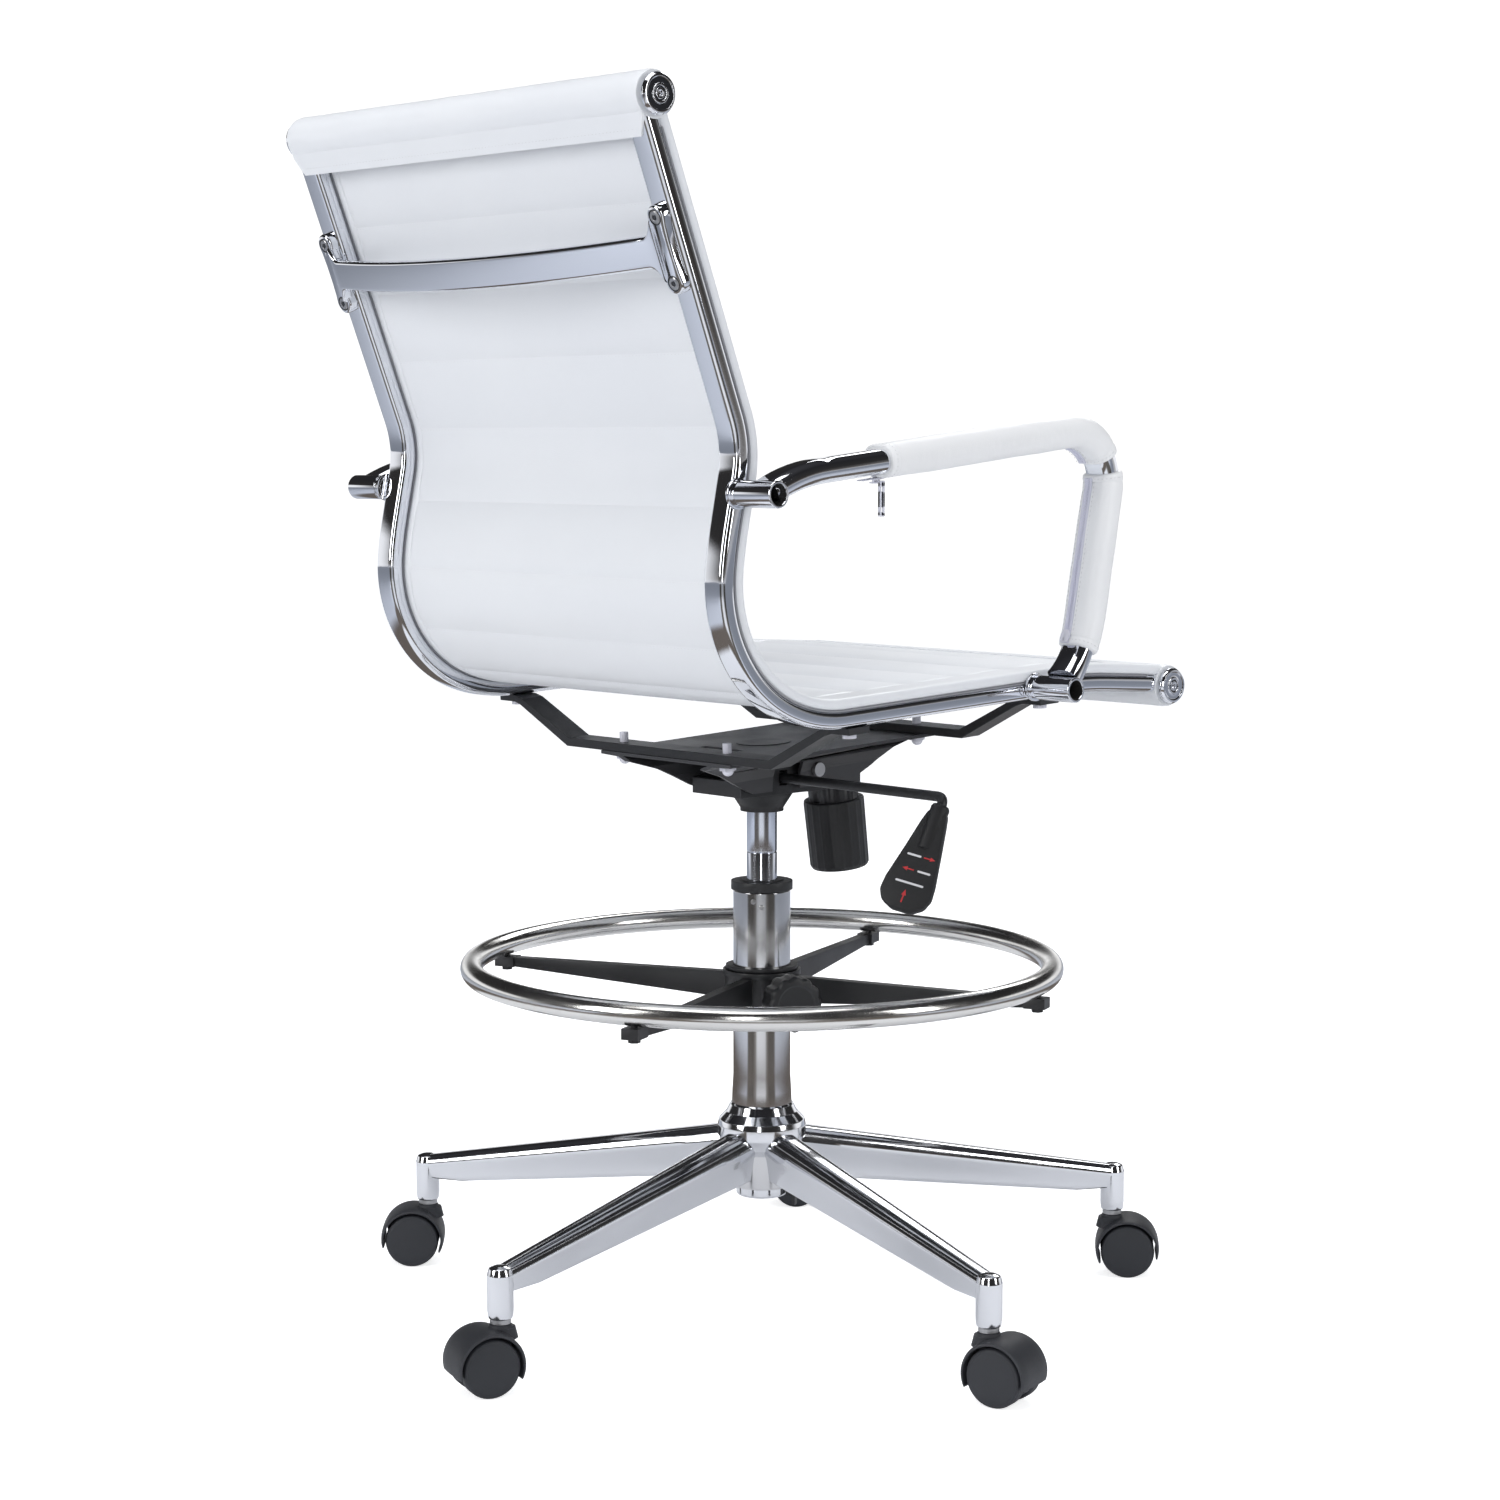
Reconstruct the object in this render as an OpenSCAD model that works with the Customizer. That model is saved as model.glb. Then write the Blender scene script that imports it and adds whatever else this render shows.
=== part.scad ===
// Drafting chair, millimetres. The origin is on the floor under the column; the chair faces -Y
// and the sitter's right hand is -X. The seat, back and mechanism are drawn facing +Y and turned
// by half a turn at the end (module up).

/* [Base] */
// Radius from the column to the castor stems
leg_r = 349.5; // [340:0.5:352]
// Direction of the first leg
leg_a0 = 26.1; // [20:0.1:32]
// Outer radius of the column
col_r = 26.5; // [26.3:0.1:26.9]
// Height of the column's upper end
col_top = 388; // [384:1:392]

/* [Foot ring] */
// Radius of the foot ring's centre line
ring_R = 267.8; // [262:0.2:272]
// Height of the foot ring's centre line
ring_z = 318; // [317:0.5:319]

/* [Seat and back] */
// Distance of each side rail from the middle
rail_x = 224; // [223:0.5:225]
// Width of a side rail
rail_w = 24; // [22:0.5:25]
// Depth of a side rail
rail_t = 15; // [14:0.5:15]
// Thickness of the pad between the rolls
pad_t = 11; // [8:0.5:12]
// Lean of the upper back from the vertical
recline = 21.3; // [21:0.1:21.6]
// Length over the caps of the top and front bars
bar_len = 487.4; // [480:0.2:490]

/* [Lever] */
// Distance of the paddle from the middle
paddle_x = 236; // [234:1:240]

/* [Hidden] */
$fn = 64;

leg_a = [for (k = [0:4]) leg_a0 + 72*k];
trail = [50, 73.5, 193.5, 221.5, 240];       // which way each castor trails
spoke_a = [23.5, 113.5, 203.5, 293.5];
knob_a = 158.5;

CH = [0.80,0.81,0.84]; BK = [0.10,0.10,0.11]; WH = [0.93,0.93,0.92]; ST = [0.55,0.56,0.58];

// ---------- helpers ----------
module up() { rotate([0,0,180]) children(); }
module xcyl(x0, x1, r, y=0, z=0) { translate([x0,y,z]) rotate([0,90,0]) cylinder(h=x1-x0, r=r); }
// section of a rounded bar, as points: w along X, h across, corner radius r, n steps a corner
function bar_section(w, h, r, n=3, off=0) = [for (q=[0:3], k=[0:n]) let (c=[[1,1],[-1,1],[-1,-1],[1,-1]][q], t=90*q+90*k/n)
  [c[0]*(w/2-r) + r*cos(t), off + c[1]*(h/2-r) + r*sin(t)]];
// stations [point, heading] along a line in the Y-Z plane; seg [length] straight or [radius, turn] bent
function stations(segs, p, a, i=0) = i == len(segs) ? [[p, a]] :
  let (s = segs[i]) len(s) == 1
    ? concat([[p, a]], stations(segs, p + s[0]*[cos(a), sin(a)], a, i+1))
    : let (R = s[0]*sign(s[1]), c = p + R*[-sin(a), cos(a)], n = max(2, ceil(abs(s[1])/5)), e = a + s[1])
      concat([for (k=[0:n-1]) let (b = a + s[1]*k/n) [c + R*[sin(b), -cos(b)], b]], stations(segs, c + R*[sin(e), -cos(e)], e, i+1));
module sweep(st, sec) {
  m = len(sec); n = len(st);
  polyhedron(
    points = [for (s=st, q=sec) [q[0], s[0][0] - q[1]*sin(s[1]), s[0][1] + q[1]*cos(s[1])]],
    faces = concat([[for (j=[m-1:-1:0]) j]], [[for (j=[0:m-1]) (n-1)*m + j]],
      [for (i=[0:n-2], j=[0:m-1]) [i*m+j, i*m+(j+1)%m, (i+1)*m+(j+1)%m]],
      [for (i=[0:n-2], j=[0:m-1]) [i*m+j, (i+1)*m+(j+1)%m, (i+1)*m+j]]));
}

// ---------- seat and back line (drawn facing +Y) ----------
top_c = [-331.3, 1063.3];  front_c = [293.2, 574.1];
rail_line = stations([[258.5],[86,-33],[43],[297,6],[115,73.5],[143,25],[272],[500,-6.5],[80]], [-338.3,1058.9], recline-90);
module on_line() { translate([0,-338.3,1058.9]) rotate([recline,0,0]) rotate([0,180,0]) children(); }
module seat_frame() { translate([0,0,566.3]) rotate([2.7,0,0]) children(); }   // z = 0 is the underside of the rails
module back_frame() { translate([0,-311.6,990.3]) rotate([recline,0,0]) children(); } // z runs up along the rail
bar_r = 13; roll_r = 19.5;

module rail(s) {
  translate([s*rail_x,0,0]) difference() {
    sweep(rail_line, bar_section(rail_w, rail_t, 5, 2));
    xcyl(-20, 20, bar_r, top_c[0], top_c[1]);
    xcyl(-20, 20, bar_r, front_c[0], front_c[1]);
    // screw and bolt holes
    xcyl(-20, 20, 4, -246, 757);
    xcyl(-20, 20, 4, 109, 583);
    back_frame() for (z=[-16,-67]) translate([0,-30,z]) rotate([-90,0,0]) cylinder(h=60, r=3);
    seat_frame() for (y=[-108,130]) translate([0,y,-5]) cylinder(h=14, r=3);
    translate([0,front_c[0]+10,front_c[1]-30]) cube([60,60,60]);
  }
}
module bar(c) {
  translate([0,c[0],c[1]]) difference() {
    xcyl(-bar_len/2+5, bar_len/2-5, bar_r);
    xcyl(-bar_len, -bar_len/2+25, 10.5);  xcyl(bar_len/2-25, bar_len, 10.5);
  }
}
module cap(s) { // caps with a plug that goes into the bar
  difference() {
    union() {
      xcyl(bar_len/2-5, bar_len/2-1.2, 16.5); xcyl(bar_len/2-1.2, bar_len/2, 15.3); xcyl(bar_len/2-20, bar_len/2-4, 10.5);
    }
    translate([bar_len/2-1,0,0]) rotate([0,90,0]) difference() { cylinder(h=3, r=7.4); translate([0,0,-1]) cylinder(h=5, r=5.6); }
    xcyl(bar_len/2-2.5, bar_len/2+2, 2.2);
  }
}
module pad() {
  difference() {
    union() {
      sweep(rail_line, bar_section(2*rail_x+rail_w, pad_t, 3, 1, rail_t/2+pad_t/2));
      xcyl(-236,236,roll_r,top_c[0],top_c[1]);
      xcyl(-236,236,roll_r,front_c[0],front_c[1]);
    }
    xcyl(-300,300,bar_r,top_c[0],top_c[1]);
    xcyl(-300,300,bar_r,front_c[0],front_c[1]);
    translate([-300,front_c[0]+roll_r,500]) cube([600,60,140]);
    on_line() for (s=[-1,1]) translate([s*(rail_x+0.3)-12.6,-8,-5]) cube([25.2,15.5,60]);
    translate([0,front_c[0]-60,front_c[1]]) rotate([-3.7,0,0]) for (s=[-1,1]) translate([s*(rail_x+0.3)-12.6,-5,-2.45]) cube([25.2,66,15.2]);
  }
}
module brace() {
  back_frame() difference() {
    union() {
      for (s=[-1,1]) translate([s*rail_x,-7.5,-41.5]) rotate([90,0,0]) linear_extrude(height=8) union() { square([19,54], center=true); for (z=[-27,27]) translate([0,z]) circle(r=9.5); }
      translate([0,898,-55]) rotate([0,0,-104.2]) rotate_extrude(angle=28.4) translate([938,0]) translate([-9,0]) square([9,27]);
    }
    for (s=[-1,1]) translate([s*rail_x-14,-7.5,-100]) cube([28,20,120]);
    for (s=[-1,1], z=[-16,-67]) translate([s*rail_x,-30,z]) rotate([-90,0,0]) cylinder(h=60, r=3);
    for (s=[-1,1], z=[-16,-67]) translate([s*rail_x,-30,z]) rotate([-90,0,0]) cylinder(h=17.5, r=6);
  }
}
module screw(r, h, l, R) { difference() { union() { cylinder(h=h, r=R); translate([0,0,-l]) cylinder(h=l+1, r=r); } translate([0,0,h-2]) cylinder(h=3, r=R*0.42, $fn=6); } }
module frame_screw_set() {
  for (s=[-1,1]) {
    back_frame() for (z=[-16,-67]) translate([s*rail_x,-12.6,z]) rotate([90,0,0]) screw(3, 3, 16, 5.6);
    for (p=[[-246,757],[109,583]]) translate([s*245.2,p[0],p[1]]) rotate([0,s*90,0]) screw(4, 6, 30, 7);
  }
}
module crossbar(y) {
  seat_frame() translate([0,y+12.5,0]) rotate([90,0,0]) difference() {
    linear_extrude(height=25) polygon([[-236,0],[-212,0],[-202,-2.5],[-135,-34.5],[135,-34.5],[202,-2.5],[212,0],[236,0],
      [236,-6],[214,-6],[206,-8.4],[138,-42.5],[-138,-42.5],[-206,-8.4],[-214,-6],[-236,-6]]);
    for (s=[-1,1]) { translate([s*70,-60,12.5]) rotate([-90,0,0]) cylinder(h=60, r=4); translate([s*224,-20,12.5]) rotate([-90,0,0]) cylinder(h=30, r=3); }
  }
}
module bolt_set() {
  seat_frame() for (y=[-108,130]) for (s=[-1,1]) {
    translate([s*70,y,-46]) cylinder(h=20, r=4);
    translate([s*70,y,-50]) cylinder(h=4.5, r=7.5, $fn=6);
    translate([s*70,y,-50]) sphere(r=5.2);
    translate([s*224,y,-6]) rotate([180,0,0]) screw(3, 4, 14, 6);
  }
}

// ---------- arms ----------
arm_x = 266;
arm_line = stations([[10],[160,-17.9],[301],[45,-107.4],[115.6],[94,-33.5]], [-243,758], 24);
arm_rear = [-185.9,775]; // end of the rear bend, where the straight armrest starts
module arm(s) { // right arm for s = 1, left arm for s = -1
  x0 = min(s*236, s*246); x1 = min(s*244.5, s*285.3);
  difference() {
    union() {
      translate([s*arm_x,0,0]) sweep(arm_line, bar_section(30, 20, 9, 3));
      for (p=[[-246,757],[109,583]]) { xcyl(x0,x0+10,10,p[0],p[1]); xcyl(x1,x1+40.8,11,p[0],p[1]); }
    }
    for (p=[[-246,757],[109,583]]) {
      xcyl(min(s*245.2,s*300),max(s*245.2,s*300),8.5,p[0],p[1]);
      xcyl(min(s*230,s*250),max(s*230,s*250),4,p[0],p[1]);
    }
  }
}
upper_sleeve = stations([[232],[45,-66]], arm_rear+69*[cos(6.1),sin(6.1)], 6.1);
lower_sleeve = stations([[45,-23.4],[115.6],[94,-15]], arm_rear+301*[cos(6.1),sin(6.1)]+45*[sin(6.1),-cos(6.1)]+45*[-sin(-77.9),cos(-77.9)], -77.9);
module sleeves(s) translate([s*arm_x,0,0]) difference() {
  union() { sweep(upper_sleeve, bar_section(37, 28, 12.5, 3)); sweep(lower_sleeve, bar_section(37, 28, 12.5, 3)); }
  sweep(arm_line, bar_section(30.2, 20.2, 9.1, 3));
}
module zip_pull(s) {  // hangs on the rear end of the upper sleeve
  translate([s*arm_x,-113,767.2]) {
    xcyl(-3,3,1.3,0,-1);
    difference() { translate([-3,-1.2,-30]) cube([6,2.4,29]); translate([-1.4,-2,-27]) cube([2.8,4,6]); translate([-1.4,-2,-9]) cube([2.8,4,5]); }
  }
}

// ---------- mechanism ----------
kn = 7.68;
module knob_frame() { translate([0,92.5,461]) rotate([kn,0,0]) children(); }   // z up along the knob axis
module housing() {
  difference() {
    union() {
      rotate_extrude() polygon([[14,461],[20,461],[20,464],[29,478],[29,482],[14,482]]);
      rotate([90,0,90]) translate([0,0,-33]) linear_extrude(height=66) polygon([[-56,479],[50,479],[50,509],[14,509],[-56,493]]);
      rotate([90,0,90]) translate([0,0,-11]) linear_extrude(height=22) polygon([[48,487.7],[101,506.8],[100,512],[48,493]]); // tongue over the spring
      xcyl(-33,33,9,30,500);
    }
    rotate([90,0,90]) translate([0,0,-30]) linear_extrude(height=60) polygon([[-53,482],[47,482],[47,520],[-53,520]]);
    translate([0,0,455]) cylinder(h=40, r=14.02);
    xcyl(-50,50,5,30,500);
    xcyl(18,50,4.95,-4,494);           // lever passes here, opened up and down below
    translate([25,-8.95,487]) cube([20,9.9,14]);
  }
}
module lever_saddle() { // two cheeks inside the housing that carry the lever bush
  for (y=[-16.5,5.5]) translate([17,y,482]) cube([12.8,3,21]);
}
module seat_plate_body() {
  difference() {
    union() {
      seat_frame() intersection() {
        union() {
          for (m=[0,1]) mirror([m,0,0]) rotate([90,0,0]) translate([0,0,-160]) linear_extrude(height=300) polygon([[88,-42.5],[88,-45.5],[64,-46.5],[52,-51],[45,-58],[41,-68],[40,-86],[37,-86],[37.6,-67],[41.5,-56.5],[49.5,-48.2],[58,-45.5],[0,-45.5],[0,-42.5]]);
        }
        rotate([90,0,90]) translate([0,0,-100]) linear_extrude(height=200) polygon([[-121,-42.5],[-121,-50],[-92,-60],[-58,-78],[-50,-81],[70,-84],[98,-72],[124,-58],[145,-50],[145,-42.5]]);
      }
      knob_frame() translate([0,0,1]) cylinder(h=57, r=23.5);
      translate([-23.5,84,478]) cube([47,20,49.5]);
    }
    knob_frame() translate([0,0,4]) cylinder(h=52, r=20);
    knob_frame() translate([0,0,-5]) cylinder(h=12, r=6);
    translate([-16,40,478]) cube([32,66,44]);          // window for the housing tongue
    translate([-16,40,478]) cube([32,20,25]);
    for (y=[0]) translate([-45,-24,470]) cube([90,34,39]);   // room for the lever
    xcyl(-60,60,5.05,30,500);
    xcyl(42,60,7.2,30,500);  xcyl(-60,-42,7.2,30,500);
    seat_frame() for (y=[-108,130], s=[-1,1]) { translate([s*70,y,-60]) cylinder(h=30, r=4); translate([s*70,y,-62]) cylinder(h=16.5, r=7.7); }
    seat_frame() translate([-26,-88,-50]) cube([52,40,20]);
    seat_frame() translate([0,0,-50]) cylinder(h=12, r=24);
  }
}
module tension_knob_body() {
  knob_frame() union() {
    difference() {
      union() {
        translate([0,0,-62]) cylinder(h=66, r1=27.6, r2=28.6);
        for (k=[0:17]) rotate([0,0,20*k]) translate([27.6,0,-61]) cylinder(h=58, r=1.4, $fn=8);
      }
      translate([0,0,-1]) cylinder(h=6, r=24.2);
      translate([0,0,-59]) cylinder(h=59, r=14);
    }
    translate([0,0,-60]) cylinder(h=84, r=5);
    translate([0,0,7.6]) cylinder(h=5, r=17);
  }
}
module spring() { knob_frame() rotate_extrude() union() { for (k=[0:3]) translate([14,15.2+3.7*k]) circle(r=2.1, $fn=32); translate([12.6,15.2]) square([2.8,11.1]); } }
module bush() {
  difference() {
    translate([24,5.3,494]) rotate([90,0,0]) cylinder(h=18.6, r=5.7);
    xcyl(0,50,4.55,-4,494);
  }
}
module paddle_frame() { translate([paddle_x,-4,494]) rotate([-30,0,0]) rotate([0,0,25]) children(); }  // z up along the paddle
module lever_rod_all() { // straight rod, a round elbow and the end inside the paddle
  xcyl(-12, paddle_x, 4.5, -4, 494);
  translate([paddle_x,-4,494]) sphere(r=4.5);
  translate([paddle_x,-4,494]) rotate([-30,0,0]) translate([0,0,-42]) cylinder(h=42, r=4.5);
}
module paddle() {
  difference() {
    paddle_frame() union() {
      rotate([90,0,0]) translate([0,0,-4.5]) rotate([0,0,0]) linear_extrude(height=9) polygon([[-9.5,-15],[-12,-24],[-17,-50],[-24,-84],[-24,-94],[-19,-103],[-9,-108],[10,-108],[19,-101],[22,-92],[21,-80],[16,-50],[11.5,-24],[9,-15]]);
      translate([0,0,-50]) cylinder(h=39, r1=6.5, r2=8.5);
    }
    translate([paddle_x,-4,494]) rotate([-30,0,0]) translate([0,0,-42]) cylinder(h=60, r=4.5);
  }
}

// ---------- column ----------
module column() {
  difference() {
    rotate_extrude() polygon([[0,108],[18,108],[18,146],[28,154],[28,186],[27.4,200],[col_r,215],[col_r,col_top],[0,col_top]]);
    translate([0,0,116]) cylinder(h=60, r=15.5);
    translate([0,0,158]) cylinder(h=300, r=22);
    translate([0,0,100]) cylinder(h=30, r=7);
  }
}
module collar() {
  difference() {
    union() { cylinder(h=8.5, r=28.5); translate([0,0,-88]) cylinder(h=90, r=22); translate([0,0,8]) cylinder(h=1.6, r=20); }
    translate([0,0,-90]) cylinder(h=120, r=14.05);
  }
}
module gas_cyl() {
  difference() {
    union() { translate([0,0,184]) cylinder(h=302, r=14); }
    translate([0,0,192]) cylinder(h=270, r=11);
    translate([0,0,180]) cylinder(h=20, r=5.05);
    translate([0,0,455]) cylinder(h=40, r=3.55);
    translate([0,0,423]) rotate_extrude() translate([14,0]) square([0.9,1.6], center=true);
  }
}
module rod() { translate([0,0,102]) cylinder(h=270, r=5); translate([0,0,352]) cylinder(h=20, r=10.95); translate([0,0,120.3]) cylinder(h=4, r=10); }
module clip() { difference() { union() { translate([0,0,103.5]) cylinder(h=3.8, r=9.5); translate([0,0,116.3]) cylinder(h=4, r=14); } translate([0,0,90]) cylinder(h=60, r=5); } }

// ---------- base ----------
module leg() { // along +X
  difference() {
    union() {
      translate([8,0,154]) rotate([0,99.4,0]) cylinder(h=346, r1=17.75, r2=10.5);
      rotate([90,0,0]) translate([0,0,-9]) linear_extrude(height=18) polygon([[8,108],[60,104],[345,85],[345,96],[8,152]]);
      intersection() {
        rotate([90,0,0]) translate([0,0,-30]) linear_extrude(height=60) polygon([[8,105.4],[60,103.4],[338,84],[338,94],[8,150]]);
        linear_extrude(height=200) polygon([[8,-17.3],[340,-9],[340,9],[8,17.3]]);
      }
      translate([leg_r,0,63]) cylinder(h=30, r=11.3);
      translate([leg_r,0,93]) sphere(r=11.3);
    }
    translate([leg_r-60,-40,40]) translate([0,0,0]) rotate([0,3.9,0]) cube([48,80,42.5]);
  }
}
module base() {
  difference() {
    union() {
      rotate_extrude() polygon([[0,101],[22.6,101],[23.4,102.2],[23.6,115],[22,118],[20.8,122],[20.8,130],[23.5,137],[31.5,145.5],[38.5,153],[41,158],[41,171],[36,179],[29,186],[0,186]]);
      for (a=leg_a) rotate([0,0,a]) leg();
    }
    rotate_extrude() polygon([[0,90],[14,90],[14,108],[18,108],[18,146],[28,154],[28,250],[0,250]]);
    for (a=leg_a) rotate([0,0,a]) translate([leg_r,0,60]) cylinder(h=32, r=5.5);
  }
}
module stems() { // steel stems pressed into the legs, with the swivel pin below
  for (a=leg_a) rotate([0,0,a]) translate([leg_r,0,0]) { translate([0,0,60]) cylinder(h=32, r=5.5); translate([0,0,59]) cylinder(h=3.7, r=9); translate([0,0,34]) cylinder(h=26, r=4); }
}
wr = 25.5; woff = 15;   // wheel radius, trail
module hood() { // castor, trails along +X from the swivel axis at the origin
  difference() {
    union() {
      translate([0,0,34]) cylinder(h=24.6, r=10.5);
      translate([woff,5,wr]) rotate([90,0,0]) cylinder(h=10, r=20);
      translate([0,-5,wr+6]) cube([14,10,22]);
      translate([woff,0,wr]) rotate([90,0,0]) translate([0,0,-22]) difference() {
        cylinder(h=44, r=30.5);
        translate([0,0,-1]) cylinder(h=50, r=27.3);
        translate([-60,-60,-1]) cube([120,62,50]);
        translate([20,-20,-1]) cube([60,80,50]);
      }
      translate([woff,0,wr]) rotate([90,0,0]) translate([0,0,-5]) difference() { cylinder(h=10, r=30.5); translate([-60,-70,-1]) cube([120,72,50]); translate([20,-20,-1]) cube([60,80,50]); }
    }
    translate([0,0,30]) cylinder(h=30, r=4.05);
    translate([woff,40,wr]) rotate([90,0,0]) cylinder(h=80, r=3);
    for (s=[-1,1]) translate([woff,s*14.3,wr]) rotate([90,0,0]) cylinder(h=18, r=26.2, center=true);
  }
}
module axle() { translate([woff,20.5,wr]) rotate([90,0,0]) cylinder(h=41, r=3); }
module wheel(s) {
  translate([woff,0,wr]) rotate([s*90,0,0]) translate([0,0,5.6]) difference() {
    rotate_extrude() polygon([[3.05,0],[22,0],[25,1.5],[25.5,4],[25.5,12],[24,15],[20.5,16.5],[17,16.5],[15,15.6],[0,15.6],[0,15.2],[3.05,15.2]]);
  }
}
module at_castor(k) { rotate([0,0,leg_a[k-1]]) translate([leg_r,0,0]) rotate([0,0,trail[k-1]-leg_a[k-1]]) children(); }

// ---------- foot ring ----------
module spoke() {
  rotate([90,0,0]) translate([0,0,-5]) linear_extrude(height=10) polygon([[31,284],[31,309],[275,306],[275,298],[262,297.5]]);
  translate([257,-8,297]) cube([20,16,9.5]);
}
module spider() {
  difference() {
    union() { translate([0,0,283]) cylinder(h=28, r=34); translate([0,0,309]) cylinder(h=5, r=36);
      for (a=spoke_a) rotate([0,0,a]) spoke();
      rotate([0,0,knob_a]) translate([24,0,294]) rotate([0,90,0]) cylinder(h=28, r=11);
    }
    translate([0,0,270]) cylinder(h=60, r=30.5);
    for (a=spoke_a) rotate([0,0,a]) translate([ring_R,0,290]) cylinder(h=30, r=3);
    rotate([0,0,knob_a]) translate([20,0,294]) rotate([0,90,0]) cylinder(h=40, r=5.5);
  }
}
module ring() {
  difference() {
    translate([0,0,ring_z]) rotate_extrude() translate([ring_R,0]) circle(r=10.3);
    for (a=spoke_a) rotate([0,0,a]) { translate([ring_R-12,-9,ring_z-24]) cube([24,18,12.5]); translate([ring_R,0,290]) cylinder(h=28, r=3); }
  }
}
module ring_bolt_set() { for (a=spoke_a) rotate([0,0,a]) translate([ring_R,0,0]) { translate([0,0,297]) cylinder(h=20, r=3); translate([0,0,293.5]) cylinder(h=3.5, r=5.4, $fn=6); } }
module rbush() {
  difference() {
    union() { translate([0,0,281]) cylinder(h=37, r=30.1); translate([0,0,314.4]) cylinder(h=3.6, r=33.5); translate([0,0,279]) cylinder(h=3.5, r=33); }
    translate([0,0,270]) cylinder(h=60, r=col_r+0.35);
  }
}
module rshoe() { rotate([0,0,knob_a]) translate([30.6,0,294]) rotate([0,90,0]) cylinder(h=8.9, r=5.2); }
module rknob() {
  rotate([0,0,knob_a]) translate([0,0,294]) rotate([0,90,0]) {
    difference() {
      union() { translate([0,0,62]) cylinder(h=22, r1=26, r2=25); translate([0,0,84]) cylinder(h=3, r1=25, r2=21);
        for (k=[0:11]) rotate([0,0,30*k]) translate([25.2,0,63]) cylinder(h=20, r=2.4, $fn=12); }
      translate([0,0,61]) cylinder(h=4, r=19);
    }
    translate([0,0,53]) cylinder(h=20, r=9);
    translate([0,0,40]) cylinder(h=26, r=5);
  }
}

// ---------- one module per node ----------
module star_base() color(CH) base();
module castor_stems() color(ST) stems();
module column_tube() color(CH) column();
module column_collar() color(BK) translate([0,0,col_top]) collar();
module gas_rod() color(ST) rod();
module rod_clip() color(ST) clip();
module gas_cylinder() color(CH) gas_cyl();
module release_pin() color(ST) translate([0,0,464]) cylinder(h=25.1, r=3.5);
module castor_hood(k) color(BK) at_castor(k) hood();
module castor_axle(k) color(ST) at_castor(k) axle();
module castor_wheel(k, s) color(BK) at_castor(k) wheel(s);
module foot_ring() color(CH) ring();
module ring_spider() color(BK) spider();
module ring_bush() color(BK) rbush();
module ring_bolts() color(ST) ring_bolt_set();
module ring_knob() color(BK) rknob();
module ring_shoe() color(ST) rshoe();
module tilt_housing() color(BK) up() union() { housing(); lever_saddle(); }
module seat_plate() color(BK) up() seat_plate_body();
module tilt_axle() color(ST) up() union() { xcyl(-46,46,5,30,500); xcyl(42.4,46,6.5,30,500); xcyl(-46,-42.4,6.5,30,500); }
module tension_knob() color(BK) up() tension_knob_body();
module tension_spring() color(ST) up() spring();
module lever_bush() color(BK) up() bush();
module lever_rod() color(BK) up() lever_rod_all();
module lever_paddle() color(BK) up() paddle();
module rear_crossbar() color(BK) up() crossbar(-108);
module front_crossbar() color(BK) up() crossbar(130);
module bar_bolts() color(ST) up() bolt_set();
module rail_left() color(CH) up() rail(-1);
module rail_right() color(CH) up() rail(1);
module top_bar() color(CH) up() bar(top_c);
module front_bar() color(CH) up() bar(front_c);
module end_caps() color(CH) up() for (c=[top_c,front_c], m=[0,1]) translate([0,c[0],c[1]]) mirror([m,0,0]) cap(1);
module frame_screws() color(ST) up() frame_screw_set();
module back_brace() color(CH) up() brace();
module seat_pad() color(WH) up() pad();
module arm_left() color(CH) up() arm(-1);
module arm_right() color(CH) up() arm(1);
module arm_sleeves_left() color(WH) up() sleeves(-1);
module arm_sleeves_right() color(WH) up() sleeves(1);
module zip_pull_left() color(ST) up() zip_pull(-1);
module zip_pull_right() color(ST) up() zip_pull(1);

// ---------- one line per node ----------
star_base();
castor_stems();
column_tube();
column_collar();
gas_rod();
rod_clip();
gas_cylinder();
release_pin();
castor_hood(1);  // castor_hood_1
castor_axle(1);  // castor_axle_1
castor_wheel(1, 1);  // castor_wheel_1a
castor_wheel(1, -1);  // castor_wheel_1b
castor_hood(2);  // castor_hood_2
castor_axle(2);  // castor_axle_2
castor_wheel(2, 1);  // castor_wheel_2a
castor_wheel(2, -1);  // castor_wheel_2b
castor_hood(3);  // castor_hood_3
castor_axle(3);  // castor_axle_3
castor_wheel(3, 1);  // castor_wheel_3a
castor_wheel(3, -1);  // castor_wheel_3b
castor_hood(4);  // castor_hood_4
castor_axle(4);  // castor_axle_4
castor_wheel(4, 1);  // castor_wheel_4a
castor_wheel(4, -1);  // castor_wheel_4b
castor_hood(5);  // castor_hood_5
castor_axle(5);  // castor_axle_5
castor_wheel(5, 1);  // castor_wheel_5a
castor_wheel(5, -1);  // castor_wheel_5b
foot_ring();
ring_spider();
ring_bush();
ring_bolts();
ring_knob();
ring_shoe();
tilt_housing();
seat_plate();
tilt_axle();
tension_knob();
tension_spring();
lever_bush();
lever_rod();
lever_paddle();
rear_crossbar();
front_crossbar();
bar_bolts();
rail_left();
rail_right();
top_bar();
front_bar();
end_caps();
frame_screws();
back_brace();
seat_pad();
arm_left();
arm_right();
arm_sleeves_left();
arm_sleeves_right();
zip_pull_left();
zip_pull_right();
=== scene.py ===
"""Looks of the drafting chair: bright tube frame, stitched white leatherette, black mechanism and castors.

Shapes are drawn in millimetres. The seat, back and mechanism are drawn facing +Y and given
half a turn when they are placed, as in the part's source.
"""
import math

import bmesh
import bpy
from mathutils import Matrix, Vector, noise


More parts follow.
